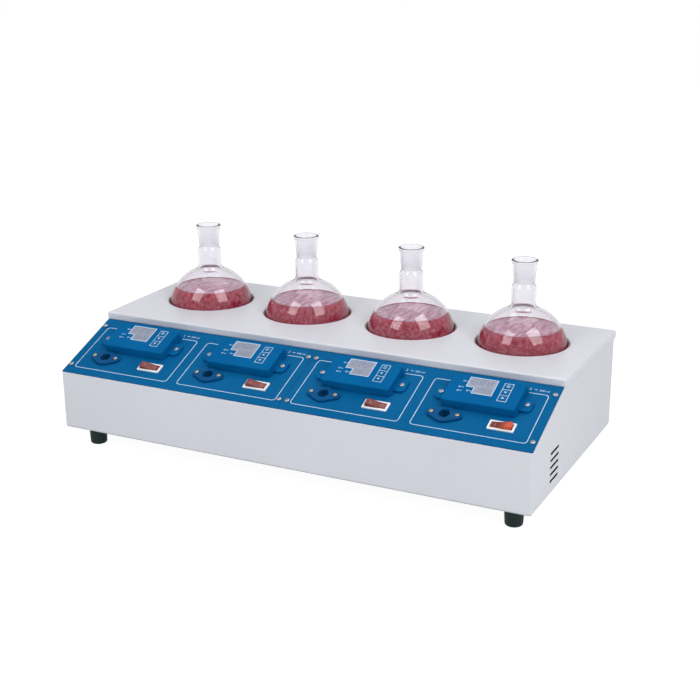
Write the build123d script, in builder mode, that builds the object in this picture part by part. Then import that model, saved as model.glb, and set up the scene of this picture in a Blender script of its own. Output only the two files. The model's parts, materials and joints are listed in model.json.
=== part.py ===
"""Four-place digital heating mantle: a sheet-steel case on rubber feet, a blue sloped control panel in two
halves, four woven heating nests under the top cover, and a round-bottom flask with liquid seated in each.

Frame: +X to the user's right, +Y to the back, +Z up. The origin is on the bench, under the middle of the
whole object. All sizes are in millimetres.
"""

import os
from math import asin, atan2, cos, degrees, hypot, radians, sin, sqrt, tan

from build123d import *

os.makedirs("parts", exist_ok=True)

# Case and sheet metal
case_width = 589.0
case_depth = 291.0
case_height = 117.4
front_height = 70.6
panel_run = 98.0
sheet = 1.2
bend_radius = 2.2
flange_width = 12.0
base_margin = 0.5

# Top cover
cover_lip = 8.5
lip_gap = 0.4
well_pitch = 140.0
well_setback = 203.8
well_radius = 54.5
collar_depth = 5.0
collar_edge = 0.8
cover_screw_drop = 4.9
cover_screw_inset = 54.0

# Rubber feet
foot_height = 26.0
foot_top_radius = 11.2
foot_bottom_radius = 9.8
foot_edge = 2.5
foot_inset_side = 27.0
foot_inset_front = 27.5
foot_inset_rear = 18.0
foot_bore_radius = 5.2
foot_bore_depth = 14.0

# Side vents
vent_count = 5
vent_pitch = 8.0
vent_length = 28.0
vent_height = 3.2
vent_setback = 74.0
vent_lift = 30.0

# Control panel: u runs along X from a station's middle, v runs up the slope from the front edge
panel_thickness = 1.5
panel_margin = 0.5
seam_gap = 0.5
station_pitch = 143.7
seam_to_station = 74.6
panel_screw_inset = 5.1
panel_screw_low = 14.3
panel_screw_high = 90.3
ledge_low = 19.0
ledge_high = 21.0
centre_strap = 24.0

# Controller housing
housing_width = 84.0
housing_depth = 44.0
housing_height = 11.0
housing_wall = 2.0
housing_corner = 3.0
housing_draft = 2.0
housing_edge = 1.0
housing_v = 67.3
ear_span = 108.6
ear_depth = 19.5
ear_thickness = 3.0
ear_corner = 5.0
ear_screw_span = 97.4
ear_drop = 2.3
wire_hole_width = 50.0
wire_hole_depth = 24.0
rail_width = 2.0
rail_inset = 1.0

# Display window
display_width = 32.5
display_depth = 26.0
display_u = -5.2
display_v = 74.0
notch_width = 9.0
notch_depth = 9.5
display_recess = 1.0
display_proud = 0.15
display_ledge = 1.2
display_block_margin = 2.4
fit_gap = 0.1

# Keys
key_names = ("set", "down", "up")
key_width = 8.6
key_depth = 7.2
key_pitch = 9.5
key_u = 23.4
key_v = 70.3
key_proud = 0.6
key_travel = 0.5
key_side_gap = 0.3
key_skirt = 0.8
key_skirt_thickness = 0.9
key_stop_gap = 0.1
key_corner = 0.8
stem_radius = 1.5
stem_clearance = 0.2

# Controller circuit board
board_thickness = 1.6
board_margin = 0.6
board_lift = 3.0
tact_size = 6.0
tact_height = 1.5
plunger_radius = 1.6
plunger_height = 0.5

# Sensor socket
socket_u = -32.6
socket_v = 32.3
socket_screw_span = 29.5
socket_waist_radius = 12.0
socket_ear_radius = 5.0
socket_flange = 3.4
socket_edge = 0.7
socket_bore_radius = 6.25
socket_bore_depth = 7.5
socket_well_radius = 5.5
socket_depth = 14.0
socket_wall = 2.6
socket_floor = 3.0
socket_panel_gap = 0.3
contact_radius = 0.9
contact_circle = 3.3
contact_length = 5.5
contact_tail = 4.0
contact_gap = 0.05
contact_count = 3

# Rocker switch
switch_u = 32.3
switch_v = 29.7
bezel_width = 29.5
bezel_depth = 13.9
bezel_height = 1.6
bezel_corner = 1.0
bezel_edge = 0.5
switch_end_wall = 1.5
switch_side_wall = 1.0
switch_body_depth = 17.0
switch_panel_gap = 0.15
pocket_width = 24.8
pocket_depth = 9.4
pocket_floor = 7.0
rocker_half_length = 11.7
rocker_side_gap = 0.3
rocker_tilt = 11.0
rocker_tip_rise = 1.9
rocker_dip = 0.5
rocker_tip_thickness = 2.6
rocker_hub_drop = 4.6
rocker_hub_half = 3.6
pivot_drop = 1.0
pivot_radius = 1.0
pivot_length = 0.8
pivot_gap = 0.05
terminal_width = 4.8
terminal_thickness = 0.8
terminal_length = 8.0
terminal_pitch = 7.6
terminal_count = 3

# Flask and liquid
flask_radius = 52.5
flask_wall = 2.2
flask_sink = 9.2
neck_radius = 14.2
neck_wall = 2.0
neck_top = 75.0
neck_blend = 5.0
waist_radius = 12.0
waist_inner = 10.2
waist_height = 79.5
mouth_radius = 14.2
mouth_wall = 2.1
rim_radius = 15.3
rim_height = 4.2
flask_height = 106.4
liquid_level = 26.2
liquid_gap = 0.1

# Heating nest, the insulation packed round it and the sheet can that holds both
nest_gap = 0.35
nest_thickness = 6.2
nest_top_drop = 1.0
nest_collar_gap = 0.3
insulation_thickness = 6.5
insulation_floor = 10.0
can_thickness = 1.0
can_flange = 2.4

# Power inlet and fuse drawer, at the rear
inlet_lift = 36.0
inlet_flange_width = 50.0
inlet_flange_height = 34.0
inlet_flange_thickness = 3.0
inlet_corner = 3.0
inlet_screw_span = 40.0
inlet_body_width = 28.0
inlet_body_depth = 24.0
inlet_wall = 1.6
inlet_panel_gap = 0.3
socket_well_width = 24.0
socket_well_height = 16.4
socket_well_depth = 16.5
socket_well_rise = 5.6
socket_well_bevel = 3.2
blade_width = 2.0
blade_height = 4.0
blade_length = 12.0
blade_spread = 7.0
blade_offset = 1.8
drawer_width = 22.4
drawer_height = 6.4
drawer_depth = 20.0
drawer_gap = 0.3
drawer_drop = 9.6
drawer_proud = 1.2
drawer_lip_height = 1.6
fuse_radius = 2.6
fuse_length = 15.0

# Terminal strip on the base
strip_length = 72.0
strip_depth = 18.0
strip_height = 15.0
strip_cells = 6
strip_rib = 1.6
strip_edge = 1.2
strip_groove = 5.0
strip_from_inlet = 66.0
strip_setback = 40.0

# Fasteners: radius of head and shank, height of head, length under the head
panel_screw_head_radius = 2.9
panel_screw_head_height = 1.9
panel_screw_radius = 1.5
panel_screw_length = 7.0
socket_screw_head_radius = 2.3
socket_screw_head_height = 1.5
socket_screw_radius = 1.2
socket_screw_length = 8.0
case_screw_head_radius = 3.0
case_screw_head_height = 2.0
case_screw_radius = 1.5
case_screw_length = 6.0
foot_screw_reach = 3.6
screw_gap = 0.1
cover_screw_count = 4
base_screw_columns = 3

# Places worked out from the sizes above
station_numbers = (1, 2, 3, 4)
raised_right = (4,)
rear_reach = inlet_flange_thickness + max(drawer_proud, case_screw_head_height)
y_front = -(case_depth + rear_reach) / 2
y_back = y_front + case_depth
base_top = foot_height + sheet
cover_top = foot_height + case_height
case_top = cover_top - sheet
panel_foot = foot_height + front_height
panel_rise = case_height - cover_lip - front_height
slope_angle = atan2(panel_rise, panel_run)
slope_length = hypot(panel_run, panel_rise)
slope = Plane(
    origin=(0, y_front, panel_foot),
    x_dir=(1, 0, 0),
    z_dir=(0, -sin(slope_angle), cos(slope_angle)),
)
outward = Axis((0, y_front, panel_foot), slope.z_dir)
well_y = y_front + well_setback
sphere_z = cover_top - flask_sink
middle_number = (station_numbers[0] + station_numbers[-1]) / 2
well_x = {n: (n - middle_number) * well_pitch for n in station_numbers}
station_u = {
    1: -seam_to_station - station_pitch,
    2: -seam_to_station,
    3: seam_to_station,
    4: seam_to_station + station_pitch,
}
half_panels = {"panel_left": -1, "panel_right": 1}


def on_panel(u, v, height=0.0):
    """Plane above the sloped panel by height: local x runs along X and local y up the slope."""
    return Plane(slope.from_local_coords(Vector(u, v, height)), x_dir=slope.x_dir, z_dir=slope.z_dir)


def screw(head_radius, head_height, shank_radius, shank_length):
    """Pan-head screw at each current location: its head stands on the plane and its shank goes below."""
    Cylinder(head_radius, head_height, align=(Align.CENTER, Align.CENTER, Align.MIN))
    Cylinder(shank_radius, shank_length, align=(Align.CENTER, Align.CENTER, Align.MAX))


def case_screw(shank_length=case_screw_length):
    """Screw of the case, at each current location."""
    screw(case_screw_head_radius, case_screw_head_height, case_screw_radius, shank_length)


def write(builder, name):
    """Label the finished sub-part and write it to its own file."""
    builder.part.label = name
    export_step(builder.part, f"parts/{name}.step")


# Screw places that more than one sub-part shares
panel_screw_u = {
    -1: (-case_width / 2 + panel_screw_inset, -panel_screw_inset),
    1: (panel_screw_inset, case_width / 2 - panel_screw_inset),
}
panel_screw_v = (panel_screw_low, panel_screw_high)
cover_screw_z = cover_top - cover_screw_drop
cover_screw_pitch = (case_width - 2 * cover_screw_inset) / (cover_screw_count - 1)
base_screw_inset = flange_width / 2 + sheet
base_screw_spacing = (
    (case_width - 2 * base_screw_inset) / (base_screw_columns - 1),
    case_depth - 2 * base_screw_inset,
)
foot_places = [
    (side * (case_width / 2 - foot_inset_side), y)
    for side in (-1, 1)
    for y in (y_front + foot_inset_front, y_back - foot_inset_rear)
]
inlet_x = well_x[station_numbers[-1]] - well_pitch / 2
inlet_z = foot_height + inlet_lift
inlet_face = Plane(origin=(inlet_x, y_back, inlet_z), x_dir=(-1, 0, 0), z_dir=(0, 1, 0))
rear_wall = Plane(origin=(0, y_back, 0), x_dir=(-1, 0, 0), z_dir=(0, 1, 0))
body_height = inlet_flange_height - 2 * inlet_wall

# Lower case: one folded box, open at the top and bottom inside its flanges
step_y = y_front + panel_run + sheet + lip_gap
step_foot = panel_foot + (step_y - y_front) * tan(slope_angle) - panel_thickness / cos(slope_angle)
case_outline = [
    (y_front, base_top),
    (y_front, panel_foot - panel_thickness / cos(slope_angle)),
    (step_y, step_foot),
    (step_y, case_top),
    (y_back, case_top),
    (y_back, base_top),
]
with BuildPart() as lower_case:
    with BuildSketch(Plane.YZ) as case_side:
        with BuildLine():
            Polyline(*case_outline, close=True)
        make_face()
    extrude(amount=case_width / 2, both=True)
    upright = lower_case.edges().filter_by(Axis.Z)
    fillet(upright.group_by(Axis.Y)[0] + upright.group_by(Axis.Y)[-1], bend_radius)
    with BuildSketch(Plane.YZ):
        add(case_side.sketch_local)
        offset(amount=-sheet, kind=Kind.INTERSECTION, mode=Mode.REPLACE)
    extrude(amount=case_width / 2 - sheet, both=True, mode=Mode.SUBTRACT)
    with BuildSketch(Plane.XY.offset(base_top)):
        with Locations((0, (y_front + y_back) / 2)):
            Rectangle(case_width - 2 * (sheet + flange_width), case_depth - 2 * (sheet + flange_width))
        with Locations((0, (y_front + y_back) / 2)):
            with GridLocations(*base_screw_spacing, base_screw_columns, 2):
                Circle(case_screw_radius + screw_gap)
    extrude(amount=sheet, mode=Mode.SUBTRACT)
    with BuildSketch(Plane.XY.offset(case_top)):
        with Locations((0, (step_y + y_back) / 2)):
            Rectangle(case_width - 2 * (sheet + flange_width), y_back - step_y - 2 * (sheet + flange_width))
    extrude(amount=-sheet, mode=Mode.SUBTRACT)
    with BuildSketch(slope.offset(-panel_thickness)):
        window_width = (case_width - centre_strap) / 2 - sheet - flange_width
        window_depth = slope_length - ledge_low - ledge_high
        for side in (-1, 1):
            with Locations((side * (centre_strap + window_width) / 2, ledge_low + window_depth / 2)):
                Rectangle(window_width, window_depth)
            for u in panel_screw_u[side]:
                with Locations(*[(u, v) for v in panel_screw_v]):
                    Circle(panel_screw_radius + screw_gap)
    extrude(amount=-(sheet + bend_radius), mode=Mode.SUBTRACT)
    with BuildSketch(Plane.YZ):
        with Locations((y_front + vent_setback, foot_height + vent_lift)):
            with GridLocations(1, vent_pitch, 1, vent_count):
                SlotOverall(vent_length, vent_height)
    extrude(amount=case_width / 2, both=True, mode=Mode.SUBTRACT)
    with BuildSketch(rear_wall):
        with Locations((-inlet_x, inlet_z)):
            Rectangle(inlet_body_width + 2 * inlet_panel_gap, body_height + 2 * inlet_panel_gap)
            with GridLocations(inlet_screw_span, 1, 2, 1):
                Circle(case_screw_radius + screw_gap)
        with Locations((0, cover_screw_z)):
            with GridLocations(cover_screw_pitch, 1, cover_screw_count, 1):
                Circle(case_screw_radius + screw_gap)
    extrude(amount=-sheet, mode=Mode.SUBTRACT)
write(lower_case, "lower_case")

# Base plate, screwed up against the bottom flange
with BuildPart() as base_plate:
    with BuildSketch(Plane.XY.offset(foot_height)):
        with Locations((0, (y_front + y_back) / 2)):
            RectangleRounded(case_width - 2 * base_margin, case_depth - 2 * base_margin, bend_radius)
            with GridLocations(*base_screw_spacing, base_screw_columns, 2):
                Circle(case_screw_radius + screw_gap, mode=Mode.SUBTRACT)
        with Locations(*foot_places):
            Circle(case_screw_radius + screw_gap, mode=Mode.SUBTRACT)
    extrude(amount=sheet)
write(base_plate, "base_plate")

# Top cover: a shallow tray turned over the case, with a flanged collar around each well
cover_front = y_front + panel_run
cover_back = y_back + lip_gap + sheet
cover_width = case_width + 2 * (lip_gap + sheet)
well_places = [(well_x[n], well_y) for n in station_numbers]
with BuildPart() as top_cover:
    with BuildSketch(Plane.XY.offset(cover_top)):
        with Locations((0, (cover_front + cover_back) / 2)):
            Rectangle(cover_width, cover_back - cover_front)
    extrude(amount=-cover_lip)
    rim = top_cover.faces().sort_by(Axis.Z)[-1].outer_wire().edges()
    corners = top_cover.edges().filter_by(Axis.Z)
    fillet(rim + corners, bend_radius)
    with BuildSketch(Plane.XY.offset(case_top)):
        with Locations((0, (cover_front + cover_back) / 2)):
            Rectangle(cover_width - 2 * sheet, cover_back - cover_front - 2 * sheet)
    extrude(amount=-cover_lip, mode=Mode.SUBTRACT)
    with BuildSketch(Plane.XY.offset(case_top)):
        with Locations(*well_places):
            Circle(well_radius + sheet)
    extrude(amount=-(collar_depth - sheet))
    with BuildSketch(Plane.XY.offset(cover_top)):
        with Locations(*well_places):
            Circle(well_radius)
    extrude(amount=-collar_depth, mode=Mode.SUBTRACT)
    chamfer(top_cover.edges().filter_by(GeomType.CIRCLE).group_by(Axis.Z)[-1], collar_edge)
    with BuildSketch(rear_wall.offset(lip_gap + sheet)):
        with Locations((0, cover_screw_z)):
            with GridLocations(cover_screw_pitch, 1, cover_screw_count, 1):
                Circle(case_screw_radius + screw_gap)
    extrude(amount=-sheet, mode=Mode.SUBTRACT)
write(top_cover, "top_cover")

# Control panel halves, with the cut-outs of two stations each
switch_body_width = pocket_width + 2 * switch_end_wall
switch_body_height = pocket_depth + 2 * switch_side_wall
panel_low = panel_margin
panel_high = slope_length - panel_margin
for name, side in half_panels.items():
    inner_edge = seam_gap / 2
    outer_edge = case_width / 2 - panel_margin
    with BuildPart() as panel:
        with BuildSketch(slope):
            with Locations((side * (inner_edge + outer_edge) / 2, (panel_low + panel_high) / 2)):
                Rectangle(outer_edge - inner_edge, panel_high - panel_low)
            for u in panel_screw_u[side]:
                with Locations(*[(u, v) for v in panel_screw_v]):
                    Circle(panel_screw_radius + screw_gap, mode=Mode.SUBTRACT)
            for n in station_numbers:
                if station_u[n] * side < 0:
                    continue
                with Locations((station_u[n], housing_v)):
                    Rectangle(wire_hole_width, wire_hole_depth, mode=Mode.SUBTRACT)
                with Locations((station_u[n], housing_v - ear_drop)):
                    with GridLocations(ear_screw_span, 1, 2, 1):
                        Circle(panel_screw_radius + screw_gap, mode=Mode.SUBTRACT)
                with Locations((station_u[n] + socket_u, socket_v)):
                    Circle(socket_bore_radius + socket_wall + socket_panel_gap, mode=Mode.SUBTRACT)
                    with GridLocations(socket_screw_span, 1, 2, 1):
                        Circle(socket_screw_radius + screw_gap, mode=Mode.SUBTRACT)
                with Locations((station_u[n] + switch_u, switch_v)):
                    Rectangle(
                        switch_body_width + 2 * switch_panel_gap,
                        switch_body_height + 2 * switch_panel_gap,
                        mode=Mode.SUBTRACT,
                    )
        extrude(amount=-panel_thickness)
    write(panel, name)


def display_outline(shrink=0.0):
    """Window shape: a rectangle with its lower left corner cut away, drawn smaller by shrink all round."""
    Rectangle(display_width - 2 * shrink, display_depth - 2 * shrink)
    corner = (-display_width / 2 + shrink, -display_depth / 2 + shrink)
    with Locations(corner):
        Rectangle(notch_width, notch_depth, align=(Align.MIN, Align.MIN), mode=Mode.SUBTRACT)


# One controller, sensor socket and rocker switch at each station
key_step = {"set": 1, "down": 0, "up": -1}
skirt_top = housing_height - housing_wall - key_stop_gap
board_top = board_lift + board_thickness
plunger_top = board_top + tact_height + plunger_height
stem_foot = plunger_top + key_travel + stem_clearance
pivot_height = bezel_height - pivot_drop
for n in station_numbers:
    middle = station_u[n]
    with BuildPart() as controller_case:
        with BuildSketch(on_panel(middle, housing_v)):
            RectangleRounded(housing_width, housing_depth, housing_corner)
        extrude(amount=housing_height, taper=housing_draft)
        fillet(controller_case.faces().sort_by(outward)[-1].outer_wire().edges(), housing_edge)
        with BuildSketch(on_panel(middle, housing_v - ear_drop)):
            RectangleRounded(ear_span, ear_depth, ear_corner)
        extrude(amount=ear_thickness)
        with BuildSketch(on_panel(middle, housing_v)):
            Rectangle(housing_width - 2 * housing_wall, housing_depth - 2 * housing_wall)
        extrude(amount=housing_height - housing_wall, mode=Mode.SUBTRACT)
        rail_u = housing_width / 2 - housing_wall - rail_inset - rail_width / 2
        with BuildSketch(on_panel(middle, housing_v, board_top)):
            with GridLocations(2 * rail_u, 1, 2, 1):
                Rectangle(rail_width, housing_depth - 2 * housing_wall)
        extrude(amount=housing_height - housing_wall - board_top)
        with BuildSketch(on_panel(middle + display_u, display_v, housing_height)):
            display_outline()
        extrude(amount=-display_recess, mode=Mode.SUBTRACT)
        with BuildSketch(on_panel(middle + display_u, display_v, housing_height)):
            display_outline(display_ledge)
        extrude(amount=-housing_wall, mode=Mode.SUBTRACT)
        with BuildSketch(on_panel(middle + key_u, key_v, housing_height)):
            with GridLocations(1, key_pitch, 1, len(key_names)):
                Rectangle(key_width + 2 * key_side_gap, key_depth + 2 * key_side_gap)
        extrude(amount=-housing_wall, mode=Mode.SUBTRACT)
        with BuildSketch(on_panel(middle, housing_v - ear_drop)):
            with GridLocations(ear_screw_span, 1, 2, 1):
                Circle(panel_screw_radius + screw_gap)
        extrude(amount=ear_thickness, mode=Mode.SUBTRACT)
    write(controller_case, f"controller_case_{n}")

    with BuildPart() as display_window:
        with BuildSketch(on_panel(middle + display_u, display_v, housing_height - display_recess)):
            display_outline(fit_gap)
        extrude(amount=display_recess + display_proud)
    write(display_window, f"display_window_{n}")

    for key_name in key_names:
        key_place = key_v + key_step[key_name] * key_pitch
        with BuildPart() as key:
            with BuildSketch(on_panel(middle + key_u, key_place, skirt_top)):
                RectangleRounded(key_width, key_depth, key_corner)
            extrude(amount=housing_height + key_proud - skirt_top)
            with BuildSketch(on_panel(middle + key_u, key_place, skirt_top)):
                Rectangle(key_width + 2 * key_skirt, key_depth + 2 * key_skirt)
            extrude(amount=-key_skirt_thickness)
            with BuildSketch(on_panel(middle + key_u, key_place, stem_foot)):
                Circle(stem_radius)
            extrude(amount=skirt_top - stem_foot)
        write(key, f"key_{key_name}_{n}")

    with BuildPart() as sensor_socket:
        with BuildSketch(on_panel(middle + socket_u, socket_v)):
            Circle(socket_waist_radius)
            with GridLocations(socket_screw_span, 1, 2, 1):
                Circle(socket_ear_radius)
            make_hull()
        extrude(amount=socket_flange)
        chamfer(sensor_socket.faces().sort_by(outward)[-1].outer_wire().edges(), socket_edge)
        with BuildSketch(on_panel(middle + socket_u, socket_v)):
            Circle(socket_bore_radius + socket_wall)
        extrude(amount=-(socket_depth - socket_flange + socket_floor))
        with BuildSketch(on_panel(middle + socket_u, socket_v, socket_flange)):
            Circle(socket_bore_radius)
        extrude(amount=-socket_bore_depth, mode=Mode.SUBTRACT)
        with BuildSketch(on_panel(middle + socket_u, socket_v, socket_flange)):
            Circle(socket_well_radius)
        extrude(amount=-socket_depth, mode=Mode.SUBTRACT)
        with BuildSketch(on_panel(middle + socket_u, socket_v, socket_flange - socket_depth)):
            with PolarLocations(contact_circle, contact_count, start_angle=90):
                Circle(contact_radius + contact_gap)
        extrude(amount=-socket_floor, mode=Mode.SUBTRACT)
        with BuildSketch(on_panel(middle + socket_u, socket_v, socket_flange)):
            with GridLocations(socket_screw_span, 1, 2, 1):
                Circle(socket_screw_radius + screw_gap)
        extrude(amount=-socket_flange, mode=Mode.SUBTRACT)
    write(sensor_socket, f"sensor_socket_{n}")

    with BuildPart() as switch_body:
        with BuildSketch(on_panel(middle + switch_u, switch_v)):
            RectangleRounded(bezel_width, bezel_depth, bezel_corner)
        extrude(amount=bezel_height)
        fillet(switch_body.faces().sort_by(outward)[-1].outer_wire().edges(), bezel_edge)
        with BuildSketch(on_panel(middle + switch_u, switch_v)):
            Rectangle(switch_body_width, switch_body_height)
        extrude(amount=-switch_body_depth)
        with BuildSketch(on_panel(middle + switch_u, switch_v, bezel_height)):
            Rectangle(pocket_width, pocket_depth)
        extrude(amount=-(bezel_height + pocket_floor), mode=Mode.SUBTRACT)
        with BuildSketch(on_panel(middle + switch_u, switch_v, -switch_body_depth)):
            with GridLocations(terminal_pitch, 1, terminal_count, 1):
                Rectangle(terminal_thickness, terminal_width)
        extrude(amount=-terminal_length)
        pivot_plane = on_panel(middle + switch_u, switch_v, pivot_height)
        with BuildSketch(Plane(pivot_plane.origin, x_dir=slope.x_dir, z_dir=slope.y_dir)):
            Circle(pivot_radius + pivot_gap)
        pin_reach = pocket_depth / 2 - rocker_side_gap + pivot_length
        extrude(amount=pin_reach + pivot_gap, both=True, mode=Mode.SUBTRACT)
    write(switch_body, f"switch_body_{n}")

    lean = radians(rocker_tilt if n in raised_right else -rocker_tilt)
    lean_dir = slope.x_dir * cos(lean) + slope.z_dir * sin(lean)
    tip = pivot_drop + rocker_tip_rise
    rocker_side = Plane(pivot_plane.origin, x_dir=lean_dir, z_dir=-slope.y_dir)
    with BuildPart() as rocker:
        with BuildSketch(rocker_side):
            with BuildLine():
                ThreePointArc((-rocker_half_length, tip), (0, tip - rocker_dip), (rocker_half_length, tip))
                Polyline(
                    (rocker_half_length, tip),
                    (rocker_half_length, tip - rocker_tip_thickness),
                    (rocker_hub_half, -rocker_hub_drop),
                    (-rocker_hub_half, -rocker_hub_drop),
                    (-rocker_half_length, tip - rocker_tip_thickness),
                    (-rocker_half_length, tip),
                )
            make_face()
        extrude(amount=pocket_depth / 2 - rocker_side_gap, both=True)
        with BuildSketch(rocker_side):
            Circle(pivot_radius)
        extrude(amount=pin_reach, both=True)
    write(rocker, f"rocker_{n}")

# Contact pins of the sensor sockets: each goes through the socket's floor and ends in a solder tail
with BuildPart() as socket_contacts:
    for n in station_numbers:
        tail_end = socket_flange - socket_depth - socket_floor - contact_tail
        with BuildSketch(on_panel(station_u[n] + socket_u, socket_v, tail_end)):
            with PolarLocations(contact_circle, contact_count, start_angle=90):
                Circle(contact_radius)
        extrude(amount=contact_tail + socket_floor + contact_length)
write(socket_contacts, "socket_contacts")

# Controller boards, one under each housing, with a display block and three key switches
with BuildPart() as controller_boards:
    for n in station_numbers:
        middle = station_u[n]
        board_width = housing_width - 2 * (housing_wall + board_margin)
        board_depth = housing_depth - 2 * (housing_wall + board_margin)
        with BuildSketch(on_panel(middle, housing_v, board_lift)):
            Rectangle(board_width, board_depth)
        extrude(amount=board_thickness)
        with BuildSketch(on_panel(middle + display_u, display_v, board_top)):
            display_outline(display_block_margin)
        extrude(amount=housing_height - display_recess - board_top)
        with BuildSketch(on_panel(middle + key_u, key_v, board_top)):
            with GridLocations(1, key_pitch, 1, len(key_names)):
                Rectangle(tact_size, tact_size)
        extrude(amount=tact_height)
        with BuildSketch(on_panel(middle + key_u, key_v, board_top + tact_height)):
            with GridLocations(1, key_pitch, 1, len(key_names)):
                Rectangle(2 * plunger_radius, 2 * plunger_radius)
        extrude(amount=plunger_height)
write(controller_boards, "controller_boards")


def well_plane(number):
    """Upright plane through a well's middle: local x is the radius and local y the height."""
    return Plane(origin=(well_x[number], well_y, 0), x_dir=(1, 0, 0), z_dir=(0, -1, 0))


def well_axis(number):
    """Upright axis that the pieces of a well are turned about."""
    return Axis((well_x[number], well_y, 0), (0, 0, 1))


def bowl_arc(radius, height=0.0):
    """Arc about the flask's centre, from its lowest point out and up to a height above the centre."""
    CenterArc((0, sphere_z), radius, -90, 90 + degrees(asin(height / radius)))


# Wells: nest, flask and liquid are turned about each well's axis
nest_inner = flask_radius + nest_gap
nest_outer = nest_inner + nest_thickness
nest_top = cover_top - nest_top_drop
nest_neck = well_radius - nest_collar_gap
shoulder_z = cover_top - collar_depth
shoulder_radius = sqrt(nest_outer**2 - (shoulder_z - sphere_z) ** 2)
body_inner = flask_radius - flask_wall
neck_inner = neck_radius - neck_wall
neck_foot = sqrt(flask_radius**2 - neck_radius**2)
neck_foot_inner = sqrt(body_inner**2 - neck_inner**2)
mouth_inner = mouth_radius - mouth_wall
neck_z = sphere_z + neck_top
joint_z = sphere_z + waist_height
mouth_z = sphere_z + flask_height
liquid_radius = body_inner - liquid_gap
liquid_z = sphere_z + liquid_level
for n in station_numbers:
    with BuildPart() as nest:
        with BuildSketch(well_plane(n)):
            with BuildLine():
                bowl_arc(nest_inner)
                Polyline(
                    (nest_inner, sphere_z),
                    (nest_inner, nest_top),
                    (nest_neck, nest_top),
                    (nest_neck, shoulder_z),
                    (shoulder_radius, shoulder_z),
                )
                bowl_arc(nest_outer, shoulder_z - sphere_z)
                Line((0, sphere_z - nest_outer), (0, sphere_z - nest_inner))
            make_face()
        revolve(axis=well_axis(n))
    write(nest, f"nest_{n}")

    with BuildPart() as flask:
        with BuildSketch(well_plane(n)) as flask_wall_section:
            with BuildLine():
                bowl_arc(flask_radius, neck_foot)
                Polyline(
                    (neck_radius, sphere_z + neck_foot),
                    (neck_radius, neck_z),
                    (waist_radius, joint_z),
                    (mouth_radius, mouth_z - rim_height),
                    (rim_radius, mouth_z - rim_height / 2),
                    (rim_radius, mouth_z),
                    (mouth_inner, mouth_z),
                    (waist_inner, joint_z),
                    (neck_inner, neck_z),
                    (neck_inner, sphere_z + neck_foot_inner),
                )
                bowl_arc(body_inner, neck_foot_inner)
                Line((0, sphere_z - body_inner), (0, sphere_z - flask_radius))
            make_face()
            corners = flask_wall_section.vertices()
            fillet(corners.sort_by_distance((neck_radius, sphere_z + neck_foot))[0], neck_blend)
            fillet(corners.sort_by_distance((neck_inner, sphere_z + neck_foot_inner))[0], neck_blend)
        revolve(axis=well_axis(n))
    write(flask, f"flask_{n}")

    with BuildPart() as liquid:
        with BuildSketch(well_plane(n)):
            with BuildLine():
                bowl_arc(liquid_radius, liquid_level)
                Polyline(
                    (sqrt(liquid_radius**2 - liquid_level**2), liquid_z),
                    (0, liquid_z),
                    (0, sphere_z - liquid_radius),
                )
            make_face()
        revolve(axis=well_axis(n))
    write(liquid, f"liquid_{n}")

# Insulation: a round block in each can, hollowed to the nest
can_inner = nest_outer + insulation_thickness
can_outer = can_inner + can_thickness
can_rim = can_outer + can_flange
can_floor_z = sphere_z - nest_outer - insulation_floor
with BuildPart() as nest_insulation:
    for n in station_numbers:
        with BuildSketch(well_plane(n)):
            with BuildLine():
                bowl_arc(nest_outer)
                Polyline(
                    (nest_outer, sphere_z),
                    (can_inner, sphere_z),
                    (can_inner, can_floor_z),
                    (0, can_floor_z),
                    (0, sphere_z - nest_outer),
                )
            make_face()
        revolve(axis=well_axis(n))
write(nest_insulation, "nest_insulation")

# Cans: sheet pots with a flange under the top cover
with BuildPart() as nest_cans:
    for n in station_numbers:
        with BuildSketch(well_plane(n)):
            with BuildLine():
                Polyline(
                    (0, can_floor_z),
                    (can_inner, can_floor_z),
                    (can_inner, case_top),
                    (can_rim, case_top),
                    (can_rim, case_top - can_thickness),
                    (can_outer, case_top - can_thickness),
                    (can_outer, can_floor_z - can_thickness),
                    (0, can_floor_z - can_thickness),
                    close=True,
                )
            make_face()
        revolve(axis=well_axis(n))
write(nest_cans, "nest_cans")

# Rubber feet: tapered, with a rounded lower edge and a bore for the screw's head
with BuildPart() as rubber_feet:
    with Locations(*[(x, y, 0) for x, y in foot_places]):
        Cone(foot_bottom_radius, foot_top_radius, foot_height, align=(Align.CENTER, Align.CENTER, Align.MIN))
    fillet(rubber_feet.edges().filter_by(GeomType.CIRCLE).group_by(Axis.Z)[0], foot_edge)
    with BuildSketch(Plane.XY):
        with Locations(*foot_places):
            Circle(foot_bore_radius)
    extrude(amount=foot_bore_depth, mode=Mode.SUBTRACT)
    with BuildSketch(Plane.XY):
        with Locations(*foot_places):
            Circle(case_screw_radius + screw_gap)
    extrude(amount=foot_height, mode=Mode.SUBTRACT)
write(rubber_feet, "rubber_feet")

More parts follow.
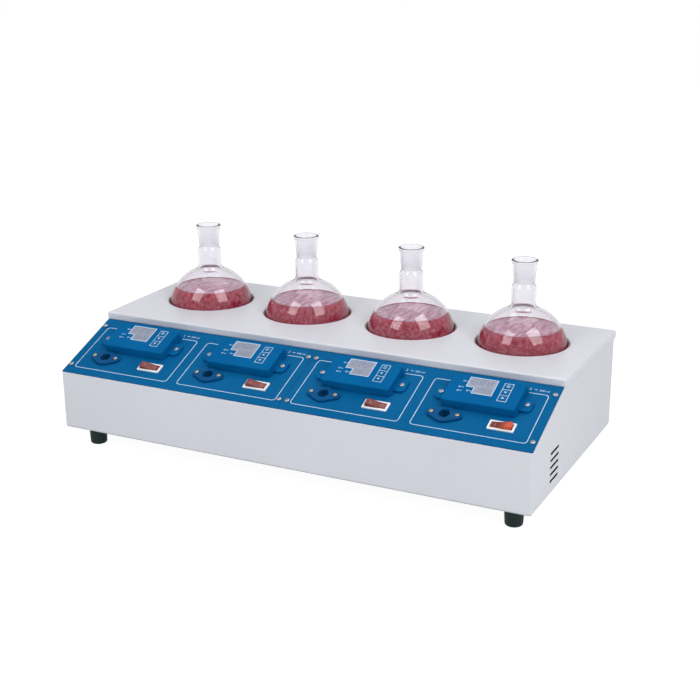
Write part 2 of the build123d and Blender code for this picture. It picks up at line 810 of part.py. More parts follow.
# Power inlet: flange, body, socket well with three blades, and the slot of the fuse drawer
with BuildPart() as power_inlet:
    with BuildSketch(inlet_face):
        RectangleRounded(inlet_flange_width, inlet_flange_height, inlet_corner)
    extrude(amount=inlet_flange_thickness)
    with BuildSketch(inlet_face):
        Rectangle(inlet_body_width, body_height)
    extrude(amount=-inlet_body_depth)
    with BuildSketch(inlet_face.offset(inlet_flange_thickness)) as well_mouth:
        with Locations((0, socket_well_rise)):
            Rectangle(socket_well_width, socket_well_height)
        chamfer(well_mouth.vertices().group_by(Axis.Y)[-1], socket_well_bevel)
    extrude(amount=-(inlet_flange_thickness + socket_well_depth), mode=Mode.SUBTRACT)
    with BuildSketch(inlet_face.offset(-socket_well_depth)):
        with Locations(
            (-blade_spread, socket_well_rise - blade_offset),
            (blade_spread, socket_well_rise - blade_offset),
            (0, socket_well_rise + blade_offset),
        ):
            Rectangle(blade_width, blade_height)
    extrude(amount=blade_length)
    with BuildSketch(inlet_face.offset(inlet_flange_thickness)):
        with Locations((0, -drawer_drop)):
            Rectangle(drawer_width + 2 * drawer_gap, drawer_height + 2 * drawer_gap)
    extrude(amount=-(inlet_flange_thickness + drawer_depth + drawer_gap), mode=Mode.SUBTRACT)
    with BuildSketch(inlet_face):
        with GridLocations(inlet_screw_span, 1, 2, 1):
            Circle(case_screw_radius + screw_gap)
    extrude(amount=inlet_flange_thickness, mode=Mode.SUBTRACT)
write(power_inlet, "power_inlet")

# Fuse drawer: a trough for the fuse, open at the top, with a finger lip on its front
with BuildPart() as fuse_drawer:
    with BuildSketch(inlet_face.offset(inlet_flange_thickness)):
        with Locations((0, -drawer_drop)):
            Rectangle(drawer_width, drawer_height)
    extrude(amount=-(inlet_flange_thickness + drawer_depth))
    with BuildSketch(inlet_face.offset(inlet_flange_thickness)):
        with Locations((0, -drawer_drop + (drawer_height - drawer_lip_height) / 2)):
            Rectangle(drawer_width, drawer_lip_height)
    extrude(amount=drawer_proud)
    with BuildSketch(inlet_face.offset(-(drawer_depth - fuse_length) / 2)):
        with Locations((0, -drawer_drop + drawer_height / 2)):
            Circle(fuse_radius)
    extrude(amount=-fuse_length, mode=Mode.SUBTRACT)
write(fuse_drawer, "fuse_drawer")

# Terminal strip: a block with a groove across each cell and ribs between them
strip_x = inlet_x - strip_from_inlet
strip_y = y_back - strip_setback
with BuildPart() as terminal_strip:
    with BuildSketch(Plane.XY.offset(base_top)):
        with Locations((strip_x, strip_y)):
            Rectangle(strip_length, strip_depth)
    extrude(amount=strip_height)
    cell = strip_length / strip_cells
    with BuildSketch(Plane.XY.offset(base_top + strip_height)):
        with Locations((strip_x, strip_y)):
            with GridLocations(cell, (strip_depth + strip_rib) / 2 - strip_edge, strip_cells, 2):
                Rectangle(cell - strip_rib, (strip_depth - strip_rib) / 2 - strip_edge)
    extrude(amount=-strip_groove, mode=Mode.SUBTRACT)
write(terminal_strip, "terminal_strip")

# Fasteners
with BuildPart() as panel_screws:
    for side in (-1, 1):
        panel_places = [on_panel(u, v) for u in panel_screw_u[side] for v in panel_screw_v]
        with Locations(*panel_places):
            screw(panel_screw_head_radius, panel_screw_head_height, panel_screw_radius, panel_screw_length)
    for n in station_numbers:
        ears = [station_u[n] + side * ear_screw_span / 2 for side in (-1, 1)]
        with Locations(*[on_panel(u, housing_v - ear_drop, ear_thickness) for u in ears]):
            screw(panel_screw_head_radius, panel_screw_head_height, panel_screw_radius, panel_screw_length)
write(panel_screws, "panel_screws")

with BuildPart() as socket_screws:
    for n in station_numbers:
        ears = [station_u[n] + socket_u + side * socket_screw_span / 2 for side in (-1, 1)]
        with Locations(*[on_panel(u, socket_v, socket_flange) for u in ears]):
            screw(
                socket_screw_head_radius,
                socket_screw_head_height,
                socket_screw_radius,
                socket_screw_length,
            )
write(socket_screws, "socket_screws")

with BuildPart() as case_screws:
    for row in (-1, 1):
        for column in range(base_screw_columns):
            x = (column - (base_screw_columns - 1) / 2) * base_screw_spacing[0]
            y = (y_front + y_back) / 2 + row * base_screw_spacing[1] / 2
            with Locations(Plane(origin=(x, y, foot_height), x_dir=(1, 0, 0), z_dir=(0, 0, -1))):
                case_screw()
    for x, y in foot_places:
        with Locations(Plane(origin=(x, y, foot_bore_depth), x_dir=(1, 0, 0), z_dir=(0, 0, -1))):
            case_screw(foot_height - foot_bore_depth + foot_screw_reach)
    for column in range(cover_screw_count):
        x = (column - (cover_screw_count - 1) / 2) * cover_screw_pitch
        with Locations(Plane(origin=(x, cover_back, cover_screw_z), x_dir=(-1, 0, 0), z_dir=(0, 1, 0))):
            case_screw()
    for side in (-1, 1):
        head_place = inlet_face.from_local_coords(
            Vector(side * inlet_screw_span / 2, 0, inlet_flange_thickness)
        )
        with Locations(Plane(head_place, x_dir=inlet_face.x_dir, z_dir=inlet_face.z_dir)):
            case_screw()
write(case_screws, "case_screws")
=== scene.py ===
import json
from math import acos, atan2, cos, degrees, pi, radians, sin, sqrt, tan

import bmesh
import bpy
import numpy as np
from mathutils import Matrix, Vector


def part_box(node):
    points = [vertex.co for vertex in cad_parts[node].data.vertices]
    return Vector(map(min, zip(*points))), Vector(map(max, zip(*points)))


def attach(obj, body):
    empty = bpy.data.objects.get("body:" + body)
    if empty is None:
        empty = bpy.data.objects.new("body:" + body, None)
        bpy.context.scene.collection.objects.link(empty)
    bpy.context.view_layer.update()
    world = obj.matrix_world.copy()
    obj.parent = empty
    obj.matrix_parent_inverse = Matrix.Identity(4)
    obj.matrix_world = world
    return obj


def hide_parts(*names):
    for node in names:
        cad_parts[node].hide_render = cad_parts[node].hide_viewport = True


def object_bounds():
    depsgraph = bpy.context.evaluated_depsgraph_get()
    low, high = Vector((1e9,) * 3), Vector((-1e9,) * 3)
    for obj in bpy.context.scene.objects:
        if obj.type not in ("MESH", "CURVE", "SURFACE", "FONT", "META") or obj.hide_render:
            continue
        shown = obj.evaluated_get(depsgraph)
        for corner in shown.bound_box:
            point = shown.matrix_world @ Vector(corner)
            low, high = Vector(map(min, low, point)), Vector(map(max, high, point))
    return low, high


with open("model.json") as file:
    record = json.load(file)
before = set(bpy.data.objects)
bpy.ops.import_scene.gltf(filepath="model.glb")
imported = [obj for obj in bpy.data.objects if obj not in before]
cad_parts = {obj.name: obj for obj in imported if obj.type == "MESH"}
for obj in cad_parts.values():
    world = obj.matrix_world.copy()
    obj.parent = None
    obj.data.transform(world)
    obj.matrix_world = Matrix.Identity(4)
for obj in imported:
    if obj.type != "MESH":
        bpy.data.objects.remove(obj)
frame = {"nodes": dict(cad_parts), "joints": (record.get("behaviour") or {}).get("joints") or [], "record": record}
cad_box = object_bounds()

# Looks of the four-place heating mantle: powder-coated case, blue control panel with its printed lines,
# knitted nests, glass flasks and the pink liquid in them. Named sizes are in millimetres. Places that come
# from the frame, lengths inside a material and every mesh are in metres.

MM = 0.001
STATIONS = (1, 2, 3, 4)
weld_distance = 0.001
mounts = {mount["name"]: mount for mount in frame["record"]["mounts"]}
joints = {joint["name"]: joint for joint in frame["joints"]}

# Sizes that the marks on the panel are set out by, from a station's middle (u) and up the slope (v)
socket_u = -32.6
socket_v = 32.3
socket_flange = 3.4
housing_height = 11.0
key_rise = 0.6
window_rise = 0.15
mark_height = 0.06

# Printed frame of a station, and its label at the right: a number, a dash and the flask's volume
frame_half_width = 65.0
frame_low = 11.3
frame_high = 88.3
frame_corner = 4.5
frame_line = 0.9
frame_break_left = -43.0
frame_break_right = 42.7
label_u = 41.0
label_v = 92.6
number_size = 5.2
dash_size = (3.6, 0.9)
dash_place = (7.4, 1.9)
volume_size = 4.2
volume_place = (11.2, 0.2)

# Display window with its cut corner. A row of digits: width, height and stroke, pitch, and the row's middle
window_u = -5.2
window_v = 74.0
window_width = 32.5
window_depth = 26.0
window_line_inset = 0.5
notch_width = 9.0
notch_depth = 9.5
digit_rows = ((4.9, 8.4, 1.25, 8.6, -0.4, 6.2), (3.6, 6.6, 1.0, 6.2, 4.6, -6.4))

# Column of three keys, and the lamp marks beside the window. A ring is given by its radius and its line
key_u = 23.4
key_v = 70.3
key_pitch = 9.5
key_column_width = 9.9
key_line = 0.75
key_ring = (1.5, 0.7)
key_arrow = 1.9
lamp_marks = ((-26.0, 79.0), (-28.0, 69.0), (-28.0, 63.0), (-17.5, 64.5))
lamp_ring = (0.9, 0.5)
lamp_bar = (2.6, 0.7)
lamp_bar_u = 3.2

# Marks on a rocker, and the dished face that they follow. The ring's last number is its points
rocker_half_length = 11.7
rocker_lean = 11.0
rocker_top = 2.9
rocker_dip = 0.5
rocker_mark_reach = 6.6
rocker_ring = (1.7, 0.6, 24)
rocker_stroke = (0.7, 4.2)

# Flasks, with heights from the ball's middle, and the rounding of each bend up outside and down inside
flask_wall = 2.2
neck_radius = 14.2
neck_wall = 2.0
neck_top = 75.0
neck_inner_drop = 1.0
neck_blend = 6.5
waist_radius = 12.0
waist_inner = 10.2
waist_height = 79.5
mouth_radius = 14.2
mouth_inner = 12.1
rim_radius = 15.3
rim_height = 4.2
flask_height = 106.4
flask_corners = (2.6, 2.2, 1.6, 1.0, 1.0, 0.8, 1.6, 2.2)
ground_reach = 0.4
ground_stop = 2.5

# Liquid, with the rim that it draws up the wall, and the nests
liquid_level = 26.2
liquid_soak = 0.15
meniscus_rise = 1.3
meniscus_width = 1.1
meniscus_start = 0.15
meniscus_reach = 5.0
level_slack = 0.2
drawn_up_from = 0.25
drawn_up_mask = 0.25
nest_gap = 0.45
nest_rim_width = 1.2
nest_rim_drop = 3.9
nest_rim_corners = (0.4, 0.5)
nest_shoulder_drop = 4.0

# Screws. A head is given by its radius and height and the radius of the shank under it
panel_head = (2.9, 1.9, 1.5)
socket_head = (2.3, 1.5, 1.2)
case_head = (3.0, 2.0, 1.5)
ear_screw_span = 97.4
ear_screw_v = 65.0
ear_thickness = 3.0
panel_screw_v = (14.3, 90.3)
panel_screw_inset = 5.1
panel_screw_length = 7.0
socket_screw_span = 29.5
socket_screw_length = 8.0

# A head's rings and cross in shares of its radius, and its depth, fall and edge in shares of its height. The
# crosses turn on from screw to screw, in radians
head_rings = (0, 0.12, 0.22, 0.32, 0.42, 0.52, 0.62, 0.7, 0.8, 0.9, 0.97)
cross_half_width = 0.16
cross_reach = 0.6
cross_depth = 0.45
dome_fall = 0.38
head_edge = 0.42
first_turn = 0.7
turn_step = 1.1


# Geometry: arrays of points, made into meshes


def put_mesh(name, points, faces, material, smooth=False):
    """One object from points in metres and faces as lists of point numbers, with its place in its mesh."""
    mesh = bpy.data.meshes.new(name)
    mesh.from_pydata(np.asarray(points, float).tolist(), [], faces)
    mesh.materials.append(material)
    if smooth:
        mesh.polygons.foreach_set("use_smooth", np.ones(len(mesh.polygons), bool))
    mesh.update()
    piece = bpy.data.objects.new(name, mesh)
    bpy.context.scene.collection.objects.link(piece)
    return piece


def grid_faces(rows, columns, wrap_rows=False, wrap_columns=False):
    """Quads between neighbouring points of a grid, joined round where a direction is closed."""
    r = np.arange(rows if wrap_rows else rows - 1)
    c = np.arange(columns if wrap_columns else columns - 1)
    r, c = (g.ravel() for g in np.meshgrid(r, c, indexing="ij"))
    r2, c2 = (r + 1) % rows, (c + 1) % columns
    return np.stack([r * columns + c, r * columns + c2, r2 * columns + c2, r2 * columns + c], axis=1)


def merged(mesh):
    """Working copy of a mesh, in which points that lie in one place are one."""
    cage = bmesh.new()
    cage.from_mesh(mesh)
    bmesh.ops.remove_doubles(cage, verts=cage.verts, dist=weld_distance * MM)
    return cage


def weld(piece):
    """Closes the poles and seams of a piece, and turns its faces outwards."""
    cage = merged(piece.data)
    bmesh.ops.recalc_face_normals(cage, faces=cage.faces)
    cage.to_mesh(piece.data)
    cage.free()
    return piece


def turned_grid(radius, height, columns):
    """Surface of revolution about the upright axis: each row of the grid is a ring, whose radius and height
    are one number each or change round it."""
    angle = np.linspace(0, 2 * pi, columns, endpoint=False)
    rings = [radius * np.cos(angle), radius * np.sin(angle), height * np.ones(columns)]
    return np.stack(rings, axis=2).reshape(-1, 3)


def turned(name, radius, height, centre, material, mask_name, mask, columns=160):
    """Closed body of rings that start and end on the axis or where they began. The mask is a number for each
    ring or point, which the material reads by its name."""
    points = centre + turned_grid(radius, height, columns) * MM
    faces = grid_faces(len(radius), columns, wrap_columns=True).tolist()
    piece = put_mesh(name, points, faces, material, smooth=True)
    values = (mask * np.ones(columns)).ravel().astype(np.float32)
    piece.data.attributes.new(mask_name, "FLOAT", "POINT").data.foreach_set("value", values)
    return weld(piece)


def arc(centre, radius, start, stop, steps):
    """Points of a round stretch about a centre, from one angle to another, in degrees."""
    angle = np.radians(np.linspace(start, stop, steps))
    return np.stack([centre[0] + radius * np.cos(angle), centre[1] + radius * np.sin(angle)], axis=1)


def rounded(points, radii, steps=6):
    """Broken line with each corner replaced by a curve that leaves and meets its runs in line."""
    points = np.asarray(points, float)
    out = [points[:1]]
    for before, corner, after, radius in zip(points, points[1:], points[2:], radii):
        if radius == 0:
            out.append(corner[None])
            continue
        back, ahead = before - corner, after - corner
        back, ahead = back / np.linalg.norm(back), ahead / np.linalg.norm(ahead)
        half = acos(np.clip(back @ ahead, -1, 1)) / 2
        reach = radius / tan(half)
        t = np.linspace(0, 1, steps)[:, None]
        start, end = corner + back * reach, corner + ahead * reach
        out.append((1 - t) ** 2 * start + 2 * t * (1 - t) * corner + t**2 * end)
    out.append(points[-1:])
    return np.concatenate(out)


def ribbon(path, width, height, closed=False):
    """Raised line of a given width along a flat path: each point is pushed aside along the mean of the
    normals of its two runs, lengthened so that the line keeps its width round corners."""
    path = np.asarray(path, float)
    ahead = np.roll(path, -1, axis=0) - path
    if not closed:
        ahead[-1] = ahead[-2]
    ahead /= np.linalg.norm(ahead, axis=1)[:, None]
    behind = np.roll(ahead, 1, axis=0)
    if not closed:
        behind[0] = ahead[0]
    side_a = np.stack([-ahead[:, 1], ahead[:, 0]], axis=1)
    side_b = np.stack([-behind[:, 1], behind[:, 0]], axis=1)
    shift = (side_a + side_b) / (1 + (side_a * side_b).sum(axis=1))[:, None] * width / 2
    left, right = path + shift, path - shift
    low, high = np.zeros((len(path), 1)), np.full((len(path), 1), height)
    corners = [np.hstack(pair) for pair in ((left, low), (left, high), (right, high), (right, low))]
    points = np.stack(corners, axis=1).reshape(-1, 3)
    faces = grid_faces(len(path), 4, wrap_rows=closed, wrap_columns=True).tolist()
    if not closed:
        last = 4 * (len(path) - 1)
        faces += [[0, 1, 2, 3], [last + 3, last + 2, last + 1, last]]
    return points, faces


def plate(outline, height):
    """Flat prism on an outline that runs anticlockwise."""
    outline = np.asarray(outline, float)
    count = len(outline)
    low = np.hstack([outline, np.zeros((count, 1))])
    high = np.hstack([outline, np.full((count, 1), height)])
    sides = [[i, (i + 1) % count, count + (i + 1) % count, count + i] for i in range(count)]
    top = [list(range(count, 2 * count))]
    bottom = [list(range(count))[::-1]]
    return np.vstack([low, high]), sides + top + bottom


def joined(shapes):
    """Several (points, faces) shapes as one."""
    points, faces, count = [], [], 0
    for shape_points, shape_faces in shapes:
        points.append(shape_points)
        faces += [[count + i for i in face] for face in shape_faces]
        count += len(shape_points)
    return np.vstack(points), faces


def moved(shape, u, v, h=0.0):
    """A flat shape shifted in its own plane and lifted off it."""
    points, faces = shape
    return points + np.array([u, v, h]), faces


# The sloped panel: across runs along X, upslope climbs it and outward stands off it
outward = np.array(mounts["sensor_socket_1"]["axis"], float)
across = np.array([1.0, 0.0, 0.0])
upslope = np.cross(outward, across)
slope_axes = np.stack([across, upslope, outward])


def on_station(number, points):
    """Points (u, v, h) in millimetres of one station, as places in the frame."""
    mouth = np.array(mounts[f"sensor_socket_{number}"]["pos_m"], float)
    local = (np.asarray(points, float) - np.array([socket_u, socket_v, socket_flange])) * MM
    return mouth + local @ slope_axes


def print_on(name, number, shapes, material, place=(0, 0, 0), body="mantle", node_slot="display_film"):
    """Marks printed on a station as one thin raised piece that rides on a body. The place (u, v, h) is where
    the marks' own origin goes."""
    points, faces = joined(shapes)
    piece = put_mesh(name, on_station(number, points + np.array(place)), faces, material)
    return dress(piece, body, node_slot)


def dress(piece, body, node_slot, *nodes):
    """Lets a piece ride on its body and hides the nodes that it stands for. The slot is not used."""
    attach(piece, body)
    if nodes:
        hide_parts(*nodes)
    return piece


# Shader helpers and the groups that several finishes share


def feed(tree, socket, value):
    """Gives a socket its value: a link from another socket, a colour with its alpha, or a plain number."""
    if isinstance(value, bpy.types.NodeSocket):
        tree.links.new(value, socket)
    elif isinstance(value, tuple):
        socket.default_value = (*value, 1.0)
    else:
        socket.default_value = value


def object_place(tree):
    """Vector socket of a point's place on the part."""
    return tree.nodes.new("ShaderNodeTexCoord").outputs["Object"]


def place_along(tree):
    """Sockets X, Y and Z of a point's place on the part."""
    node = tree.nodes.new("ShaderNodeSeparateXYZ")
    tree.links.new(object_place(tree), node.inputs["Vector"])
    return node.outputs


def mask_named(tree, name):
    """Socket of a number that a piece's mesh holds at each of its points."""
    node = tree.nodes.new("ShaderNodeAttribute")
    node.attribute_name = name
    return node.outputs["Fac"]


def new_group(name, inputs, outputs):
    """Empty shader group with named sockets: (name, kind, default) going in and (name, kind) coming out."""
    tree = bpy.data.node_groups.new(name, "ShaderNodeTree")
    for label, kind, default in inputs:
        socket = tree.interface.new_socket(label, in_out="INPUT", socket_type=kind)
        socket.default_value = default
    for label, kind in outputs:
        tree.interface.new_socket(label, in_out="OUTPUT", socket_type=kind)
    return tree, tree.nodes.new("NodeGroupInput"), tree.nodes.new("NodeGroupOutput")


def math_node(tree, operation, a, b, clamp=False):
    """Result socket of one sum on two numbers or sockets."""
    node = tree.nodes.new("ShaderNodeMath")
    node.operation, node.use_clamp = operation, clamp
    feed(tree, node.inputs[0], a)
    feed(tree, node.inputs[1], b)
    return node.outputs[0]


def noise(tree, vector, scale, detail, roughness):
    """Fac socket of a noise that reads a vector socket."""
    node = tree.nodes.new("ShaderNodeTexNoise")
    for label, value in (("Vector", vector), ("Scale", scale), ("Detail", detail), ("Roughness", roughness)):
        feed(tree, node.inputs[label], value)
    return node.outputs["Fac"]


def ranged(tree, factor, low=0.0, high=1.0, start=0.0, stop=1.0, smooth=False):
    """Number socket that runs from low to high as the factor runs from start to stop."""
    node = tree.nodes.new("ShaderNodeMapRange")
    node.interpolation_type = "SMOOTHSTEP" if smooth else "LINEAR"
    feed(tree, node.inputs["Value"], factor)
    for label, value in (("From Min", start), ("From Max", stop), ("To Min", low), ("To Max", high)):
        feed(tree, node.inputs[label], value)
    return node.outputs["Result"]


def colour_mix(tree, factor, first, second):
    """Colour socket that goes from one colour or socket to another by a factor."""
    node = tree.nodes.new("ShaderNodeMix")
    node.data_type = "RGBA"
    for socket, value in zip((node.inputs[0], node.inputs[6], node.inputs[7]), (factor, first, second)):
        feed(tree, socket, value)
    return node.outputs[2]


def bumped(tree, height, distance, strength, normal=None):
    """Normal socket of a surface that rises by the distance in metres as the height goes from 0 to 1."""
    node = tree.nodes.new("ShaderNodeBump")
    node.inputs["Distance"].default_value = distance
    node.inputs["Strength"].default_value = strength
    tree.links.new(height, node.inputs["Height"])
    if normal is not None:
        tree.links.new(normal, node.inputs["Normal"])
    return node.outputs["Normal"]


def make_grain_group():
    """Fine surface grain and slow changes of tone over a part, both from noise on the part's own place."""
    tree, source, result = new_group(
        "finish_grain",
        [("Grain Scale", "NodeSocketFloat", 900.0), ("Tone Scale", "NodeSocketFloat", 9.0)],
        [("Grain", "NodeSocketFloat"), ("Tone", "NodeSocketFloat")],
    )
    place = object_place(tree)
    grain = noise(tree, place, source.outputs["Grain Scale"], 2.0, 0.6)
    slow = noise(tree, place, source.outputs["Tone Scale"], 4.0, 0.55)
    tree.links.new(grain, result.inputs["Grain"])
    tree.links.new(ranged(tree, slow, start=0.3, stop=0.7), result.inputs["Tone"])
    return tree


def make_edge_group():
    """Mask of rubbed edges and of painted edge highlights: where a normal that is rounded over a small radius
    leaves the face's own.
    """
    tree, source, result = new_group(
        "edge_rub",
        [("Radius", "NodeSocketFloat", 0.0008), ("Amount", "NodeSocketFloat", 6.0)],
        [("Mask", "NodeSocketFloat"), ("Round Normal", "NodeSocketVector")],
    )
    bevel = tree.nodes.new("ShaderNodeBevel")
    bevel.samples = 6
    tree.links.new(source.outputs["Radius"], bevel.inputs["Radius"])
    geometry = tree.nodes.new("ShaderNodeNewGeometry")
    dot = tree.nodes.new("ShaderNodeVectorMath")
    dot.operation = "DOT_PRODUCT"
    tree.links.new(bevel.outputs["Normal"], dot.inputs[0])
    tree.links.new(geometry.outputs["Normal"], dot.inputs[1])
    away = math_node(tree, "SUBTRACT", 1.0, dot.outputs["Value"], clamp=True)
    strong = math_node(tree, "MULTIPLY", away, source.outputs["Amount"], clamp=True)
    broken = math_node(tree, "MULTIPLY", strong, noise(tree, object_place(tree), 160.0, 4.0, 0.7))
    tree.links.new(broken, result.inputs["Mask"])
    tree.links.new(bevel.outputs["Normal"], result.inputs["Round Normal"])
    return tree


grain_group = make_grain_group()
rub_highlight_group = make_edge_group()


def bare_material(name, **constants):
    """Material with one Principled shader, whose constant sockets are set by name."""
    material = bpy.data.materials.new(name)
    material.use_nodes = True
    tree = material.node_tree
    shader = tree.nodes["Principled BSDF"]
    for label, value in constants.items():
        shader.inputs[label.replace("_", " ")].default_value = value
    return material, tree, shader


def placed_group(tree, group, **values):
    """A shared group set into a material, with its inputs given by name."""
    node = tree.nodes.new("ShaderNodeGroup")
    node.node_tree = group
    for label, value in values.items():
        node.inputs[label.replace("_", " ")].default_value = value
    return node


def wire(tree, shader, **sockets):
    """Links colours, numbers and normals that change over the surface to a shader's inputs by name."""
    for label, socket in sockets.items():
        tree.links.new(socket, shader.inputs[label.replace("_", " ")])


def solid_finish(
    name, dark, light, rough, grain_scale, grain_depth, rub_and_highlight=None, edge_radius=0.0008, tone_scale=9.0,
    **constants,
):
    """Opaque finish: two close tones, uneven gloss between two roughnesses, fine grain of some depth in the
    normal, and rounded edges in a lighter colour that is partly rubbed wear and partly a painted highlight."""
    material, tree, shader = bare_material(name, **constants)
    grain = placed_group(tree, grain_group, Grain_Scale=grain_scale, Tone_Scale=tone_scale)
    edge = placed_group(tree, rub_highlight_group, Radius=edge_radius)
    body = colour_mix(tree, grain.outputs["Tone"], dark, light)
    # The edge mask lightens the edges: partly rubbed wear and partly a painted highlight along the bends.
    wire(
        tree, shader,
        Base_Color=colour_mix(tree, edge.outputs["Mask"], body, rub_and_highlight or light),
        Roughness=ranged(tree, grain.outputs["Tone"], *rough),
        Normal=bumped(tree, grain.outputs["Grain"], grain_depth, 0.6, edge.outputs["Round Normal"]),
    )
    return material


# Finishes


# Painted highlight: the near-white edge colour of the case and cover stands for the light along their bends.
case_coat = solid_finish(
    "case_powder_coat", (0.645, 0.66, 0.72), (0.69, 0.705, 0.765), (0.36, 0.46), 1100.0, 2e-5,
    rub_and_highlight=(0.96, 0.96, 0.97), edge_radius=0.0014, tone_scale=5.0,
)
cover_coat = solid_finish(
    "cover_powder_coat", (0.65, 0.665, 0.725), (0.71, 0.72, 0.775), (0.32, 0.42), 1100.0, 2e-5,
    rub_and_highlight=(0.96, 0.96, 0.97), edge_radius=0.0014, tone_scale=5.0,
)
base_coat = solid_finish(
    "base_plate_paint", (0.50, 0.51, 0.54), (0.56, 0.57, 0.60), (0.42, 0.55), 900.0, 3e-5
)
panel_film = solid_finish(
    "panel_blue_film", (0.0015, 0.104, 0.272), (0.0045, 0.122, 0.305), (0.34, 0.44), 1400.0, 1e-5,
    rub_and_highlight=(0.05, 0.22, 0.42), edge_radius=0.0005, tone_scale=14.0, IOR=1.16, Specular_IOR_Level=0.12,
)
housing_plastic = solid_finish(
    "housing_blue_plastic", (0.0005, 0.106, 0.300), (0.0015, 0.124, 0.335), (0.36, 0.46), 1800.0, 2e-5,
    rub_and_highlight=(0.02, 0.20, 0.43), edge_radius=0.0009, tone_scale=20.0, IOR=1.16, Specular_IOR_Level=0.12,
)
key_rubber = solid_finish(
    "key_blue_rubber", (0.002, 0.118, 0.305), (0.005, 0.140, 0.345), (0.45, 0.55), 2200.0, 2e-5,
    rub_and_highlight=(0.03, 0.22, 0.43), edge_radius=0.0004, tone_scale=60.0, IOR=1.20, Specular_IOR_Level=0.30,
)
socket_plastic = solid_finish(
    "socket_blue_plastic", (0.0005, 0.066, 0.200), (0.0015, 0.082, 0.232), (0.34, 0.46), 1800.0, 2e-5,
    rub_and_highlight=(0.02, 0.17, 0.37), edge_radius=0.0006, tone_scale=30.0, IOR=1.20, Specular_IOR_Level=0.30,
)
window_film = solid_finish(
    "display_window_film", (0.25, 0.28, 0.37), (0.36, 0.38, 0.48), (0.16, 0.24), 700.0, 5e-6,
    rub_and_highlight=(0.50, 0.52, 0.62), edge_radius=0.0003, tone_scale=420.0, Specular_IOR_Level=0.20,
)
digit_ink = solid_finish(
    "unlit_digit_ink", (0.165, 0.20, 0.28), (0.25, 0.29, 0.38), (0.25, 0.35), 900.0, 5e-6,
    edge_radius=0.0001, tone_scale=420.0, Specular_IOR_Level=0.15,
)
pale_ink = solid_finish(
    "pale_blue_ink", (0.46, 0.62, 0.80), (0.56, 0.70, 0.86), (0.40, 0.50), 900.0, 5e-6,
    edge_radius=0.0001, tone_scale=80.0, Specular_IOR_Level=0.20,
)
bezel_plastic = solid_finish(
    "bezel_white_plastic", (0.80, 0.81, 0.84), (0.86, 0.87, 0.89), (0.26, 0.34), 1800.0, 1e-5,
    rub_and_highlight=(0.95, 0.95, 0.96), edge_radius=0.0005, tone_scale=40.0,
)
foot_rubber = solid_finish(
    "foot_black_rubber", (0.012, 0.024, 0.025), (0.024, 0.040, 0.041), (0.50, 0.68), 1200.0, 6e-5,
    rub_and_highlight=(0.07, 0.09, 0.09), edge_radius=0.0010, tone_scale=40.0, Specular_IOR_Level=0.20,
)
inlet_plastic = solid_finish(
    "inlet_black_plastic", (0.012, 0.012, 0.014), (0.022, 0.022, 0.025), (0.34, 0.46), 1500.0, 3e-5,
    rub_and_highlight=(0.07, 0.07, 0.08), edge_radius=0.0005, tone_scale=40.0, Specular_IOR_Level=0.30,
)
strip_plastic = solid_finish(
    "terminal_strip_plastic", (0.66, 0.66, 0.62), (0.74, 0.74, 0.70), (0.40, 0.50), 1500.0, 3e-5,
    tone_scale=40.0,
)
board_resist = solid_finish(
    "board_green_resist", (0.010, 0.090, 0.040), (0.020, 0.130, 0.060), (0.30, 0.45), 1500.0, 3e-5,
    tone_scale=120.0,
)
can_steel = solid_finish(
    "can_sheet_steel", (0.50, 0.50, 0.51), (0.60, 0.60, 0.61), (0.28, 0.45), 700.0, 2e-5,
    tone_scale=25.0, Metallic=1.0,
)
screw_nickel = solid_finish(
    "screw_nickel_plate", (0.30, 0.31, 0.34), (0.46, 0.46, 0.49), (0.22, 0.36), 1500.0, 1e-5,
    rub_and_highlight=(0.72, 0.72, 0.74), edge_radius=0.0002, tone_scale=600.0, Metallic=1.0,
)
screw_brass = solid_finish(
    "screw_pale_brass", (0.36, 0.31, 0.22), (0.52, 0.46, 0.35), (0.24, 0.38), 1500.0, 1e-5,
    rub_and_highlight=(0.75, 0.70, 0.58), edge_radius=0.0002, tone_scale=600.0, Metallic=1.0,
)
contact_brass = solid_finish(
    "contact_pin_brass", (0.62, 0.46, 0.20), (0.72, 0.56, 0.28), (0.22, 0.36), 1500.0, 1e-5,
    edge_radius=0.0002, tone_scale=200.0, Metallic=1.0,
)
wool_packing = solid_finish(
    "wool_packing", (0.46, 0.42, 0.33), (0.62, 0.58, 0.48), (0.85, 0.95), 260.0, 8e-4,
    edge_radius=0.002, tone_scale=60.0,
)


def make_rocker_red(name, dark, light, rub_and_highlight_tone, glow=0.0, lit_from=0.0, lit_to=0.0):
    """Tinted clear plastic of a rocker: red, with light let into its depth and a clear gloss, and edges in a
    lighter tone that is partly rubbed wear and partly a painted highlight. The lit one turns from its dark tone
    to its light one between two places along X, and glows with that colour."""
    material, tree, shader = bare_material(
        name, Roughness=0.14, IOR=1.49, Specular_IOR_Level=0.35, Emission_Strength=glow,
        Subsurface_Weight=0.15, Subsurface_Radius=(0.004, 0.0006, 0.0003),
    )
    tone = placed_group(tree, grain_group, Tone_Scale=160.0).outputs["Tone"]
    edge = placed_group(tree, rub_highlight_group, Radius=0.0006)
    if glow:
        lit = ranged(tree, place_along(tree)["X"], start=lit_from, stop=lit_to)
        tone = math_node(tree, "MULTIPLY", lit, ranged(tree, tone, 0.6, 1.0))
    # The edge tone is partly rubbed wear and partly a painted highlight along the rocker's edges.
    colour = colour_mix(tree, edge.outputs["Mask"], colour_mix(tree, tone, dark, light), rub_and_highlight_tone)
    wire(tree, shader, Base_Color=colour, Normal=edge.outputs["Round Normal"])
    if glow:
        wire(tree, shader, Emission_Color=colour)
    return material


